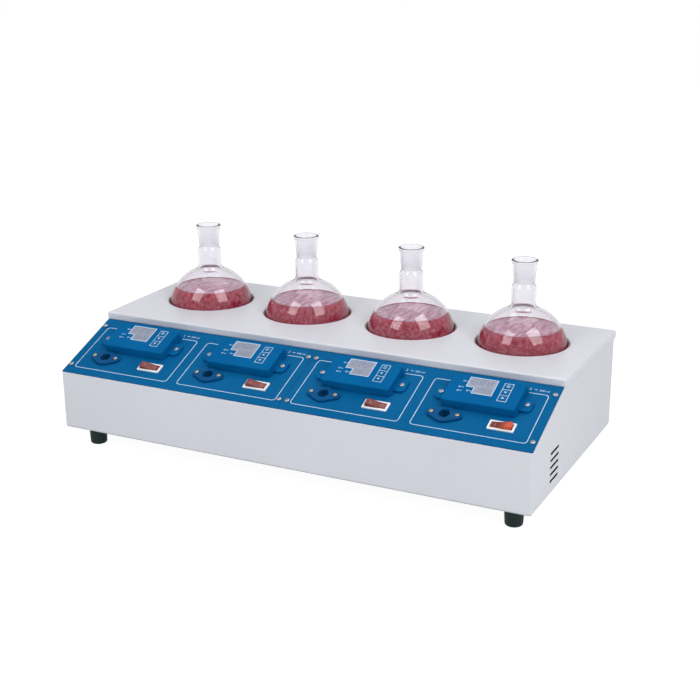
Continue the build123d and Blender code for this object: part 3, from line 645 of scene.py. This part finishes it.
def make_flask_glass():
    """Clear glass with slow waves in its surface, and painted shade that makes it greyer where it is seen edge on.
    The ground joint is frosted where its mask says so."""
    material, tree, shader = bare_material("flask_clear_glass", Transmission_Weight=1.0, IOR=1.474)
    ground = mask_named(tree, "ground")
    tint = colour_mix(tree, ground, (0.880, 0.868, 0.908), (0.77, 0.76, 0.81))
    # Painted shade: the base colour turns grey where the glass is seen edge on, to give it a dark outline.
    facing = tree.nodes.new("ShaderNodeLayerWeight")
    facing.inputs["Blend"].default_value = 0.5
    outline = ranged(tree, facing.outputs["Facing"], start=0.60, stop=1.0, smooth=True)
    waves = noise(tree, object_place(tree), 45.0, 1.0, 0.4)
    wire(
        tree, shader,
        Base_Color=colour_mix(tree, outline, tint, (0.36, 0.355, 0.40)),
        Roughness=ranged(tree, ground, 0.0, 0.32),
        Normal=bumped(tree, waves, distance=1.5e-4, strength=0.35),
    )
    return material


def make_pink_liquid():
    """Cloudy pink liquid: partly clear and mostly scattering, mottled darker and lighter red, with fine bright
    flecks of painted caustic light, and a painted reflection on the level surface: paler in streaks where its
    mask says that it is the level surface."""
    material, tree, shader = bare_material("pink_liquid", Transmission_Weight=0.22, IOR=1.345, Roughness=0.06)
    place = object_place(tree)
    depth = colour_mix(tree, noise(tree, place, 30.0, 3.0, 0.5), (0.26, 0.003, 0.010), (0.66, 0.030, 0.075))
    # Painted caustic light: fine bright pink flecks in the liquid's colour.
    fine = ranged(tree, noise(tree, place, 210.0, 6.0, 0.65), start=0.38, stop=0.66)
    caustic_flecked = colour_mix(tree, math_node(tree, "MULTIPLY", fine, 0.50), depth, (0.98, 0.30, 0.44))
    # Painted reflection on the level surface: pale streaks, stretched one way, over a pale pink.
    reflection_stretch = tree.nodes.new("ShaderNodeMapping")
    reflection_stretch.inputs["Scale"].default_value = (3.2, 0.7, 1.0)
    reflection_stretch.inputs["Rotation"].default_value = (0.0, 0.0, 0.7)
    tree.links.new(place, reflection_stretch.inputs["Vector"])
    reflection_streak = ranged(tree, noise(tree, reflection_stretch.outputs["Vector"], 75.0, 4.0, 0.6), start=0.40, stop=0.62)
    level = colour_mix(tree, reflection_streak, (0.50, 0.14, 0.25), (0.88, 0.58, 0.70))
    surface = math_node(tree, "MULTIPLY", mask_named(tree, "surface"), 0.85)
    wire(
        tree, shader,
        Base_Color=colour_mix(tree, surface, caustic_flecked, level),
        Normal=bumped(tree, noise(tree, place, 60.0, 2.0, 0.5), distance=4e-4, strength=0.3),
    )
    return material


def make_nest_yarn():
    """Knitted glass yarn in browns with dark reddish patches, a tint that is painted shade and pink light from
    the liquid: fibres as a fine streaky noise, and painted shade in the knit's hollows.
    """
    material, tree, shader = bare_material("nest_glass_yarn", Sheen_Weight=0.25, Sheen_Roughness=0.5)
    place = object_place(tree)
    fibre = noise(tree, place, 900.0, 4.0, 0.7)
    patch = math_node(tree, "MULTIPLY", noise(tree, place, 55.0, 3.0, 0.6), 0.6)
    # Painted shade: near black in the knit's hollows.
    hollow_shade = math_node(tree, "MULTIPLY", mask_named(tree, "hollow"), 0.8)
    yarn = colour_mix(tree, fibre, (0.20, 0.13, 0.095), (0.42, 0.31, 0.24))
    # The dark reddish patches are painted shade and pink light from the liquid.
    painted_tint = colour_mix(tree, patch, yarn, (0.16, 0.08, 0.055))
    wire(
        tree, shader,
        Base_Color=colour_mix(tree, hollow_shade, painted_tint, (0.035, 0.022, 0.018)),
        Roughness=ranged(tree, fibre, 0.70, 0.95),
        Normal=bumped(tree, fibre, distance=2e-4, strength=0.7),
    )
    return material


def shade_inside(material, coat=0.0002, bend=0.0030):
    """Paints shade inside the case and in its cut slots: near black where a point lies below the panel,
    further in than the coat from both sides, and past the rounded corners from the front and the back."""
    tree = material.node_tree
    shader = tree.nodes["Principled BSDF"]
    low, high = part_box("lower_case")
    place = place_along(tree)
    inside = math_node(tree, "LESS_THAN", place["Z"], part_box("panel_left")[0][2] - coat)
    for axis, (output, depth) in enumerate((("X", coat), ("Y", bend))):
        over = math_node(tree, "GREATER_THAN", place[output], low[axis] + depth)
        under = math_node(tree, "LESS_THAN", place[output], high[axis] - depth)
        inside = math_node(tree, "MULTIPLY", inside, math_node(tree, "MULTIPLY", over, under))
    painted = shader.inputs["Base Color"].links[0].from_socket
    # Painted shade: near black inside the case and in its slots, where no light gets in.
    wire(tree, shader, Base_Color=colour_mix(tree, inside, painted, (0.006, 0.006, 0.007)))


shade_inside(case_coat)
rocker_red = make_rocker_red(
    "rocker_clear_red", (0.120, 0.012, 0.010), (0.230, 0.026, 0.018), (0.46, 0.09, 0.06)
)

# The lit rocker's lamp is under its right end, so the light starts just left of the pivot, in metres
glow_left = 0.003
glow_right = 0.009
lit_middle = joints["rocker_4_tilt"]["pos_m"][0]
rocker_lit = make_rocker_red(
    "rocker_lit_red", (0.130, 0.012, 0.008), (0.620, 0.070, 0.012), (0.80, 0.15, 0.05),
    glow=0.30, lit_from=lit_middle - glow_left, lit_to=lit_middle + glow_right,
)
rocker_ink = solid_finish(
    "rocker_worn_ink", (0.30, 0.17, 0.16), (0.42, 0.27, 0.25), (0.30, 0.40), 900.0, 5e-6,
    edge_radius=0.0001, tone_scale=120.0, Specular_IOR_Level=0.20,
)
flask_glass = make_flask_glass()
pink_liquid = make_pink_liquid()
nest_yarn = make_nest_yarn()

node_finish = {
    "lower_case": case_coat,
    "top_cover": cover_coat,
    "base_plate": base_coat,
    "panel_left": panel_film,
    "panel_right": panel_film,
    "socket_contacts": contact_brass,
    "controller_boards": board_resist,
    "nest_insulation": wool_packing,
    "nest_cans": can_steel,
    "rubber_feet": foot_rubber,
    "power_inlet": inlet_plastic,
    "fuse_drawer": inlet_plastic,
    "terminal_strip": strip_plastic,
}
station_finish = {
    "controller_case": housing_plastic,
    "display_window": window_film,
    "key_set": key_rubber,
    "key_down": key_rubber,
    "key_up": key_rubber,
    "sensor_socket": socket_plastic,
    "switch_body": bezel_plastic,
    "rocker": rocker_red,
}
for kind, finish in station_finish.items():
    node_finish.update({f"{kind}_{number}": finish for number in STATIONS})
node_finish["rocker_4"] = rocker_lit
for node_name, finish in node_finish.items():
    for material_slot in frame["nodes"][node_name].material_slots:
        material_slot.material = finish


# Marks printed on the panel, windows, housings, keys and rockers


def frame_path():
    """Printed frame of a station: a rounded rectangle, open at the top where the housing stands."""
    side = frame_half_width
    corners = [(-side, frame_high), (-side, frame_low), (side, frame_low), (side, frame_high)]
    corners = [(frame_break_left, frame_high), *corners, (frame_break_right, frame_high)]
    return rounded(corners, [frame_corner] * 4, steps=9)


def window_path(inset):
    """Outline of the display window with its lower left corner cut away, drawn inside its edge by inset."""
    right, top = window_width / 2 - inset, window_depth / 2 - inset
    step_u, step_v = -window_width / 2 + notch_width + inset, -window_depth / 2 + notch_depth + inset
    return [(-right, top), (-right, step_v), (step_u, step_v), (step_u, -top), (right, -top), (right, top)]


def rectangle(width, depth):
    """Corners of a rectangle about its middle, anticlockwise."""
    w, d = width / 2, depth / 2
    return [(-w, -d), (w, -d), (w, d), (-w, d)]


def bar(width, depth):
    """Printed bar about the origin."""
    return plate(rectangle(width, depth), mark_height)


def ring(radius, line, steps=16):
    """Printed ring about the origin, through points at equal steps round a circle."""
    return ribbon(arc((0, 0), radius, 0, 360 - 360 / steps, steps), line, mark_height, closed=True)


def seven_strokes(width, height, stroke, lean=0.12, gap_share=0.12):
    """The seven strokes of a display digit: six-sided bars, leaning to the right."""
    w, h, s = width / 2, height / 2, stroke / 2
    gap = stroke * gap_share
    ends = [((-w, h), (w, h)), ((-w, 0), (w, 0)), ((-w, -h), (w, -h)),
            ((-w, 0), (-w, h)), ((w, 0), (w, h)), ((-w, -h), (-w, 0)), ((w, -h), (w, 0))]
    bars = []
    for start, end in ends:
        start, end = np.array(start), np.array(end)
        along = (end - start) / np.linalg.norm(end - start)
        side = np.array([-along[1], along[0]]) * s
        a, b = start + along * gap, end - along * gap
        near, far = a + along * s, b - along * s
        outline = np.array([a, near - side, far - side, b, far + side, near + side])
        outline[:, 0] += outline[:, 1] * lean
        bars.append(plate(outline, mark_height))
    return joined(bars)


def lettering(text, size):
    """Flat raised characters as (points, faces), with their left end on the baseline at the origin."""
    curve = bpy.data.curves.new("lettering", "FONT")
    curve.body, curve.size, curve.extrude = text, size, mark_height / 2
    curve.resolution_u = 3
    holder = bpy.data.objects.new("lettering", curve)
    bpy.context.scene.collection.objects.link(holder)
    mesh = bpy.data.meshes.new_from_object(holder.evaluated_get(bpy.context.evaluated_depsgraph_get()))
    points = np.empty(len(mesh.vertices) * 3)
    mesh.vertices.foreach_get("co", points)
    faces = [list(polygon.vertices) for polygon in mesh.polygons]
    bpy.data.objects.remove(holder)
    bpy.data.meshes.remove(mesh)
    return points.reshape(-1, 3) + np.array([0, 0, mark_height / 2]), faces


def triangle(size, up=True):
    """Small arrowhead that points up or down the slope."""
    angles = np.radians([90, 210, 330] if up else [270, 30, 150])
    return plate(np.stack([np.cos(angles), np.sin(angles)], axis=1) * size, mark_height)


def print_panel(number):
    """Frame of a station, and its label: the station's number, a dash and the flask's volume."""
    label = [
        lettering(f"{number}", number_size),
        moved(bar(*dash_size), *dash_place),
        moved(lettering("500 ml", volume_size), *volume_place),
    ]
    marks = [ribbon(frame_path(), frame_line, mark_height)]
    marks += [moved(part, label_u, label_v) for part in label]
    print_on(f"panel_marks_{number}", number, marks, pale_ink, node_slot="panel_blue")


def print_window(number):
    """Line round the display window, and two rows of three unlit digits on it."""
    place = (window_u, window_v, housing_height + window_rise)
    outline = ribbon(window_path(window_line_inset), frame_line, mark_height, closed=True)
    print_on(f"window_outline_{number}", number, [outline], pale_ink, place)
    digits = [
        moved(seven_strokes(width, height, stroke), pitch * step + row_u, row_v)
        for width, height, stroke, pitch, row_u, row_v in digit_rows
        for step in (-1, 0, 1)
    ]
    print_on(f"window_digits_{number}", number, digits, digit_ink, place)


def print_housing(number):
    """Lines of the key column, and a ring with a bar for each small lamp."""
    column = ribbon(rectangle(key_column_width, 3 * key_pitch), key_line, mark_height, closed=True)
    divider = bar(key_column_width - key_line, key_line)
    marks = [moved(column, key_u, key_v)]
    marks += [moved(divider, key_u, key_v + share * key_pitch) for share in (-0.5, 0.5)]
    for mark_u, mark_v in lamp_marks:
        marks.append(moved(ring(*lamp_ring), mark_u, mark_v))
        marks.append(moved(bar(*lamp_bar), mark_u + lamp_bar_u, mark_v))
    place = (0, 0, housing_height)
    print_on(f"housing_marks_{number}", number, marks, pale_ink, place, node_slot="housing_blue")


def print_keys(number):
    """A ring on the upper key, and arrowheads down and up on the two below it."""
    marks = {
        "set": (1, ring(*key_ring)),
        "down": (0, triangle(key_arrow, up=False)),
        "up": (-1, triangle(key_arrow, up=True)),
    }
    for key, (row, mark) in marks.items():
        place = (key_u, key_v + row * key_pitch, housing_height + key_rise)
        body = f"key_{key}_{number}"
        print_on(f"key_{key}_mark_{number}", number, [mark], pale_ink, place, body, "key_blue")


def print_rocker(number):
    """Stroke and ring on the rocker's dished face, which rises with the square of the place along it."""
    joint = joints[f"rocker_{number}_tilt"]
    pivot = np.array(joint["pos_m"], float)
    lean = radians(rocker_lean if np.array(joint["axis"]) @ upslope > 0 else -rocker_lean)
    along = across * cos(lean) + outward * sin(lean)
    off = np.cross(along, upslope)
    points, faces = joined([
        moved(ring(*rocker_ring), rocker_mark_reach, 0),
        moved(bar(*rocker_stroke), -rocker_mark_reach, 0),
    ])
    points[:, 2] += rocker_top - rocker_dip + rocker_dip * (points[:, 0] / rocker_half_length) ** 2
    placed = pivot + (points * MM) @ np.stack([along, upslope, off])
    piece = put_mesh(f"rocker_marks_{number}", placed, faces, rocker_ink)
    dress(piece, f"rocker_{number}", "rocker_red")


for number in STATIONS:
    print_panel(number)
    print_window(number)
    print_housing(number)
    print_keys(number)
for number in STATIONS:
    print_rocker(number)


# Flasks, liquids and nests, turned about each well's axis


def well_centre(number):
    """Middle of the flask's ball in metres and its radius in millimetres, from the box of its node."""
    low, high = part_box(f"flask_{number}")
    radius = (high[0] - low[0]) / 2
    return np.array([(low[0] + high[0]) / 2, (low[1] + high[1]) / 2, low[2] + radius]), radius / MM


def blend_arc(ball, neck, blend, steps=9):
    """Round stretch that leaves a ball and runs into an upright neck, and the angle at which it leaves. Its
    middle stands off the axis by the neck's radius and its own, at the height where it touches the ball."""
    height = sqrt((ball + blend) ** 2 - (neck + blend) ** 2)
    start = degrees(atan2(-height, -(neck + blend))) % 360
    return arc((neck + blend, height), blend, start, 180, steps), degrees(atan2(height, neck + blend))


def flask_profile(ball):
    """Section of a flask's wall from the lowest point outside, up to the mouth and back down inside."""
    inner_ball, inner_neck = ball - flask_wall, neck_radius - neck_wall
    outer_blend, outer_angle = blend_arc(ball, neck_radius, neck_blend)
    inner_blend, inner_angle = blend_arc(inner_ball, inner_neck, neck_blend + neck_wall)
    joint = [
        outer_blend[-1],
        (neck_radius, neck_top),
        (waist_radius, waist_height),
        (mouth_radius, flask_height - rim_height),
        (rim_radius, flask_height - rim_height / 2),
        (rim_radius, flask_height),
        (mouth_inner, flask_height),
        (waist_inner, waist_height),
        (inner_neck, neck_top - neck_inner_drop),
        inner_blend[-1],
    ]
    return np.concatenate([
        arc((0, 0), ball, -90, outer_angle, steps=64)[:-1],
        outer_blend[:-1],
        rounded(joint, flask_corners, steps=7),
        inner_blend[::-1][1:],
        arc((0, 0), inner_ball, inner_angle, -90, steps=56)[1:],
    ])


def liquid_profile(inner_ball):
    """Section of the liquid: the ball's inside, and the level surface, drawn up at the wall by a height that
    falls off exponentially inwards."""
    ball = inner_ball + liquid_soak
    contact = liquid_level + meniscus_rise
    wall = arc((0, 0), ball, -90, degrees(atan2(contact, sqrt(ball**2 - contact**2))), steps=60)
    edge = wall[-1, 0]
    near = np.linspace(meniscus_start, meniscus_reach, 16)
    far = np.linspace(meniscus_reach + 1, edge, 24)
    inwards = edge - np.concatenate([near, far])
    rise = meniscus_rise * np.exp(-(edge - inwards) / meniscus_width)
    return np.concatenate([wall, np.stack([inwards, liquid_level + rise], axis=1)])


def surface_mask(height):
    """Mask of the painted reflection on the liquid: 1 on its level surface, little where it is drawn up the wall,
    and 0 below.
    """
    above = height - liquid_level
    return np.where(above > drawn_up_from, drawn_up_mask, above > -level_slack)


def ground_mask(radius, height):
    """1 on the inside of the tapered joint, between the waist and just under the rim."""
    share = (height - waist_height) / (flask_height - waist_height)
    taper = waist_inner + (mouth_inner - waist_inner) * share
    on_taper = np.abs(radius - taper) < ground_reach
    return on_taper & (height > waist_height) & (height < flask_height - ground_stop)


def nest_profile(number, centre, ball):
    """Section of the nest in two parts: its inside up to the rim, and the rim with the outside back down."""
    low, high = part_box(f"nest_{number}")
    inner = ball + nest_gap
    outer = (high[0] - low[0]) / 2 / MM
    top = (high[2] - centre[2]) / MM
    straight = np.stack([np.full(7, inner), np.linspace(0, top, 9)[1:-1]], axis=1)
    inside = np.concatenate([arc((0, 0), inner, -90, 0, steps=78), straight])
    rim_outer = inner + nest_rim_width
    rim_start, rim_end = top - nest_rim_corners[0], top - nest_rim_drop
    rim = [(inner, rim_start), (inner, top), (rim_outer, top), (rim_outer, rim_end)]
    shoulder = top - nest_shoulder_drop
    outside = arc((0, 0), outer, degrees(atan2(shoulder, sqrt(outer**2 - shoulder**2))), -90, steps=30)
    return inside, np.concatenate([rounded(rim, nest_rim_corners, steps=4), outside])


def knitted_nest(number, centre, ball, wales=96, course=2.7, depth=0.55, plain_foot=8.0):
    """Knitted bowl: its inside is pushed outwards between stitches. A stitch's height is the product of two
    sines, one round the well and one along the section, with every other course set over by half a stitch.
    The push grows from nothing over the plain foot."""
    inside, rest = nest_profile(number, centre, ball)
    profile = np.concatenate([inside, rest])
    run = np.concatenate([[0], np.cumsum(np.linalg.norm(np.diff(profile, axis=0), axis=1))])[:, None]
    columns = wales * 4
    angle = np.linspace(0, 2 * pi, columns, endpoint=False)
    rows = run / course
    over = np.where(np.floor(rows) % 2 == 0, 0.0, pi / 2)
    stitch = np.abs(np.sin(wales / 2 * angle + over)) * np.abs(np.sin(pi * rows))
    hollow = (1 - np.sqrt(stitch)) * (np.arange(len(profile)) < len(inside))[:, None]
    direction = profile.copy()
    direction[profile[:, 1] > 0, 1] = 0
    direction /= np.maximum(np.linalg.norm(direction, axis=1), 1e-9)[:, None]
    push = depth * hollow * np.clip(run / plain_foot, 0, 1)
    radius = profile[:, :1] + direction[:, :1] * push
    height = profile[:, 1:] + direction[:, 1:] * push
    return turned(f"knitted_nest_{number}", radius, height, centre, nest_yarn, "hollow", hollow, columns)


for number in STATIONS:
    centre, ball = well_centre(number)
    radius, height = flask_profile(ball).T[..., None]
    ground = ground_mask(radius, height)
    flask = turned(f"glass_flask_{number}", radius, height, centre, flask_glass, "ground", ground)
    dress(flask, f"filled_flask_{number}", "flask_glass", f"flask_{number}")
    radius, height = liquid_profile(ball - flask_wall).T[..., None]
    level = surface_mask(height)
    liquid = turned(f"flask_liquid_{number}", radius, height, centre, pink_liquid, "surface", level, 128)
    dress(liquid, f"filled_flask_{number}", "pink_liquid", f"liquid_{number}")
    nest = knitted_nest(number, centre, ball)
    dress(nest, "mantle", "glass_cloth", f"nest_{number}")


# Screws: domed heads with a cross recess, and the plain shank under each


def screw_head(head_radius, head_height, shank_radius, shank_length, spokes=32):
    """Pan head on the plane z = 0. Its dome falls off with the square of the radius, and a cross is sunk in
    it: the depth is full within half a slot's width of either axis, out to the cross's reach."""
    angle = np.linspace(0, 2 * pi, spokes, endpoint=False)
    share = np.array(head_rings)[:, None]
    near_axis = np.minimum(np.abs(share * np.cos(angle)), np.abs(share * np.sin(angle))) < cross_half_width
    dome = head_height * (1 - dome_fall * share**2 - cross_depth * (near_axis & (share < cross_reach)))
    below = np.array([
        (head_radius, head_edge * head_height),
        (head_radius, 0),
        (shank_radius, 0),
        (shank_radius, -shank_length),
        (0, -shank_length),
    ])
    radius = np.concatenate([share * head_radius, below[:, :1]])
    height = np.concatenate([dome, below[:, 1:] * np.ones(spokes)])
    return turned_grid(radius, height, spokes), grid_faces(len(radius), spokes, wrap_columns=True).tolist()


def screw_set(name, node, places, head, material, node_slot="screw_chrome"):
    """Every screw of a node as one piece. A place is the point under the head, the outward direction and the
    shank's length, and each cross is turned further than the one before."""
    shapes = []
    for count, (point, out, length) in enumerate(places):
        points, faces = screw_head(*head, length)
        out = np.asarray(out, float)
        side = np.cross(out, (0.0, 1.0, 0.0) if abs(out[1]) < 0.9 else (1.0, 0.0, 0.0))
        side /= np.linalg.norm(side)
        other = np.cross(out, side)
        turn = first_turn + turn_step * count
        axes = np.stack([side * cos(turn) + other * sin(turn), other * cos(turn) - side * sin(turn), out])
        shapes.append((np.asarray(point) + (points * MM) @ axes, faces))
    points, faces = joined(shapes)
    dress(weld(put_mesh(name, points, faces, material)), "mantle", node_slot, node)


def pair_places(middle_u, span, v, height, length):
    """Two screws a span apart on every station, at a height over the panel."""
    return [
        (on_station(number, [(middle_u + side * span / 2, v, height)])[0], outward, length)
        for number in STATIONS
        for side in (-1, 1)
    ]


def panel_corner_places():
    """Screws in the corners of both panels, set in from the case's sides and from the seam."""
    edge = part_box("lower_case")[1][0]
    inset = panel_screw_inset * MM
    places = []
    for panel_x in (-edge + inset, -inset, inset, edge - inset):
        for screw_v in panel_screw_v:
            point = on_station(1, [(0, screw_v, 0)])[0]
            point[0] = panel_x
            places.append((point, outward, panel_screw_length))
    return places


def loose_solids(node):
    """Lowest and highest corner of each group of joined points, in the order of the lowest corners."""
    cage = merged(frame["nodes"][node].data)
    left = set(cage.verts)
    groups = []
    while left:
        edge, group = [left.pop()], []
        while edge:
            vertex = edge.pop()
            group.append(vertex.co[:])
            near = {link.other_vert(vertex) for link in vertex.link_edges} & left
            left -= near
            edge += near
        groups.append((np.min(group, axis=0), np.max(group, axis=0)))
    cage.free()
    return sorted(groups, key=lambda box: tuple(box[0].round(6)))


def case_screw_places():
    """Upright screws have their head below and level ones their head behind."""
    places = []
    for low, high in loose_solids("case_screws"):
        size, point = high - low, (low + high) / 2
        length = max(size) / MM - case_head[1]
        if size[2] > size[1]:
            point[2] = low[2] + case_head[1] * MM
            places.append((point, (0, 0, -1), length))
        else:
            point[1] = high[1] - case_head[1] * MM
            places.append((point, (0, 1, 0), length))
    return places


ear_places = pair_places(0, ear_screw_span, ear_screw_v, ear_thickness, panel_screw_length)
socket_places = pair_places(socket_u, socket_screw_span, socket_v, socket_flange, socket_screw_length)
panel_places = ear_places + panel_corner_places()
screw_set("panel_screw_heads", "panel_screws", panel_places, panel_head, screw_nickel)
screw_set("socket_screw_heads", "socket_screws", socket_places, socket_head, screw_brass, "screw_brass")
screw_set("case_screw_heads", "case_screws", case_screw_places(), case_head, screw_nickel)


# Floor, light and camera


def white_seen(tree, gloss=0.7):
    """How much of the white surroundings a ray sees: all of it directly and through glass, less in gloss."""
    path = tree.nodes.new("ShaderNodeLightPath")
    through = math_node(tree, "MAXIMUM", path.outputs["Is Camera Ray"], path.outputs["Is Transmission Ray"])
    mirrored = math_node(tree, "MULTIPLY", path.outputs["Is Glossy Ray"], gloss)
    return math_node(tree, "MAXIMUM", through, mirrored)


def make_floor(strength=1.16, share=0.82, reach=12.0):
    """White floor that is seen white, and darkens only where the object keeps light from it: a share of what
    is seen is the floor's own glow, and the rest is light that falls on it."""
    material = bpy.data.materials.new("floor_white")
    material.use_nodes = True
    tree = material.node_tree
    tree.nodes.clear()
    output = tree.nodes.new("ShaderNodeOutputMaterial")
    diffuse = tree.nodes.new("ShaderNodeBsdfDiffuse")
    diffuse.inputs["Color"].default_value = (0.86, 0.86, 0.87, 1)
    glow = tree.nodes.new("ShaderNodeEmission")
    glow.inputs["Strength"].default_value = strength
    mix = tree.nodes.new("ShaderNodeMixShader")
    tree.links.new(math_node(tree, "MULTIPLY", white_seen(tree), share), mix.inputs["Fac"])
    tree.links.new(diffuse.outputs["BSDF"], mix.inputs[1])
    tree.links.new(glow.outputs["Emission"], mix.inputs[2])
    tree.links.new(mix.outputs["Shader"], output.inputs["Surface"])
    corners = [(x, y, 0) for x, y in rectangle(2 * reach, 2 * reach)]
    put_mesh("floor", corners, [[0, 1, 2, 3]], material)


def make_world(level, seen_level=1.0):
    """Even light all round at one level, seen as white directly, in gloss and through glass."""
    world = bpy.data.worlds.new("studio")
    bpy.context.scene.world = world
    world.use_nodes = True
    tree = world.node_tree
    background = tree.nodes["Background"]
    tree.links.new(ranged(tree, white_seen(tree), level, seen_level), background.inputs["Strength"])
    background.inputs["Color"].default_value = (1.0, 1.0, 1.0, 1.0)


def soft_lamp(name, azimuth, elevation, distance, width, height, radiance):
    """Rectangular lamp that faces the middle of the object. Azimuth 0 is in front and 90 to the right."""
    data = bpy.data.lights.new(name, "AREA")
    data.shape, data.size, data.size_y = "RECTANGLE", width, height
    data.energy = radiance * pi * width * height
    lamp = bpy.data.objects.new(name, data)
    a, e = radians(azimuth), radians(elevation)
    away = Vector((sin(a) * cos(e), -cos(a) * cos(e), sin(e)))
    middle = (cad_box[0] + cad_box[1]) / 2
    lamp.location = middle + away * distance
    lamp.rotation_mode = "QUATERNION"
    lamp.rotation_quaternion = away.to_track_quat("Z", "Y")
    bpy.context.scene.collection.objects.link(lamp)


def make_camera():
    """Camera of the photograph: its place is given from the middle of the case's front top edge."""
    case_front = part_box("lower_case")[0][1]
    cover_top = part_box("top_cover")[1][2]
    to_right, to_front, rise = 0.677475, 1.184637, 0.469677
    place = Vector((to_right, case_front - to_front, cover_top + rise))
    azimuth, elevation, roll = radians(26.389), radians(18.261), radians(-0.355)
    look = Vector((-sin(azimuth) * cos(elevation), cos(azimuth) * cos(elevation), -sin(elevation)))
    level = Vector((cos(azimuth), sin(azimuth), 0))
    over = level.cross(look)
    right = level * cos(roll) + over * sin(roll)
    up = over * cos(roll) - level * sin(roll)
    data = bpy.data.cameras.new("camera")
    data.sensor_width = 36.0
    data.lens = 68.1
    camera = bpy.data.objects.new("camera", data)
    camera.matrix_world = Matrix.Translation(place) @ Matrix((right, up, -look)).transposed().to_4x4()
    bpy.context.scene.collection.objects.link(camera)
    bpy.context.scene.camera = camera


make_floor()
make_world(level=0.32)
soft_lamp("lamp_right", azimuth=68.0, elevation=42.0, distance=2.3, width=1.15, height=1.5, radiance=4.35)
soft_lamp("lamp_left", azimuth=-23.0, elevation=40.0, distance=2.3, width=1.0, height=1.35, radiance=4.2)
soft_lamp("lamp_over", azimuth=180.0, elevation=78.0, distance=2.6, width=2.4, height=1.6, radiance=1.35)
make_camera()
bpy.context.scene.view_settings.view_transform = "Standard"
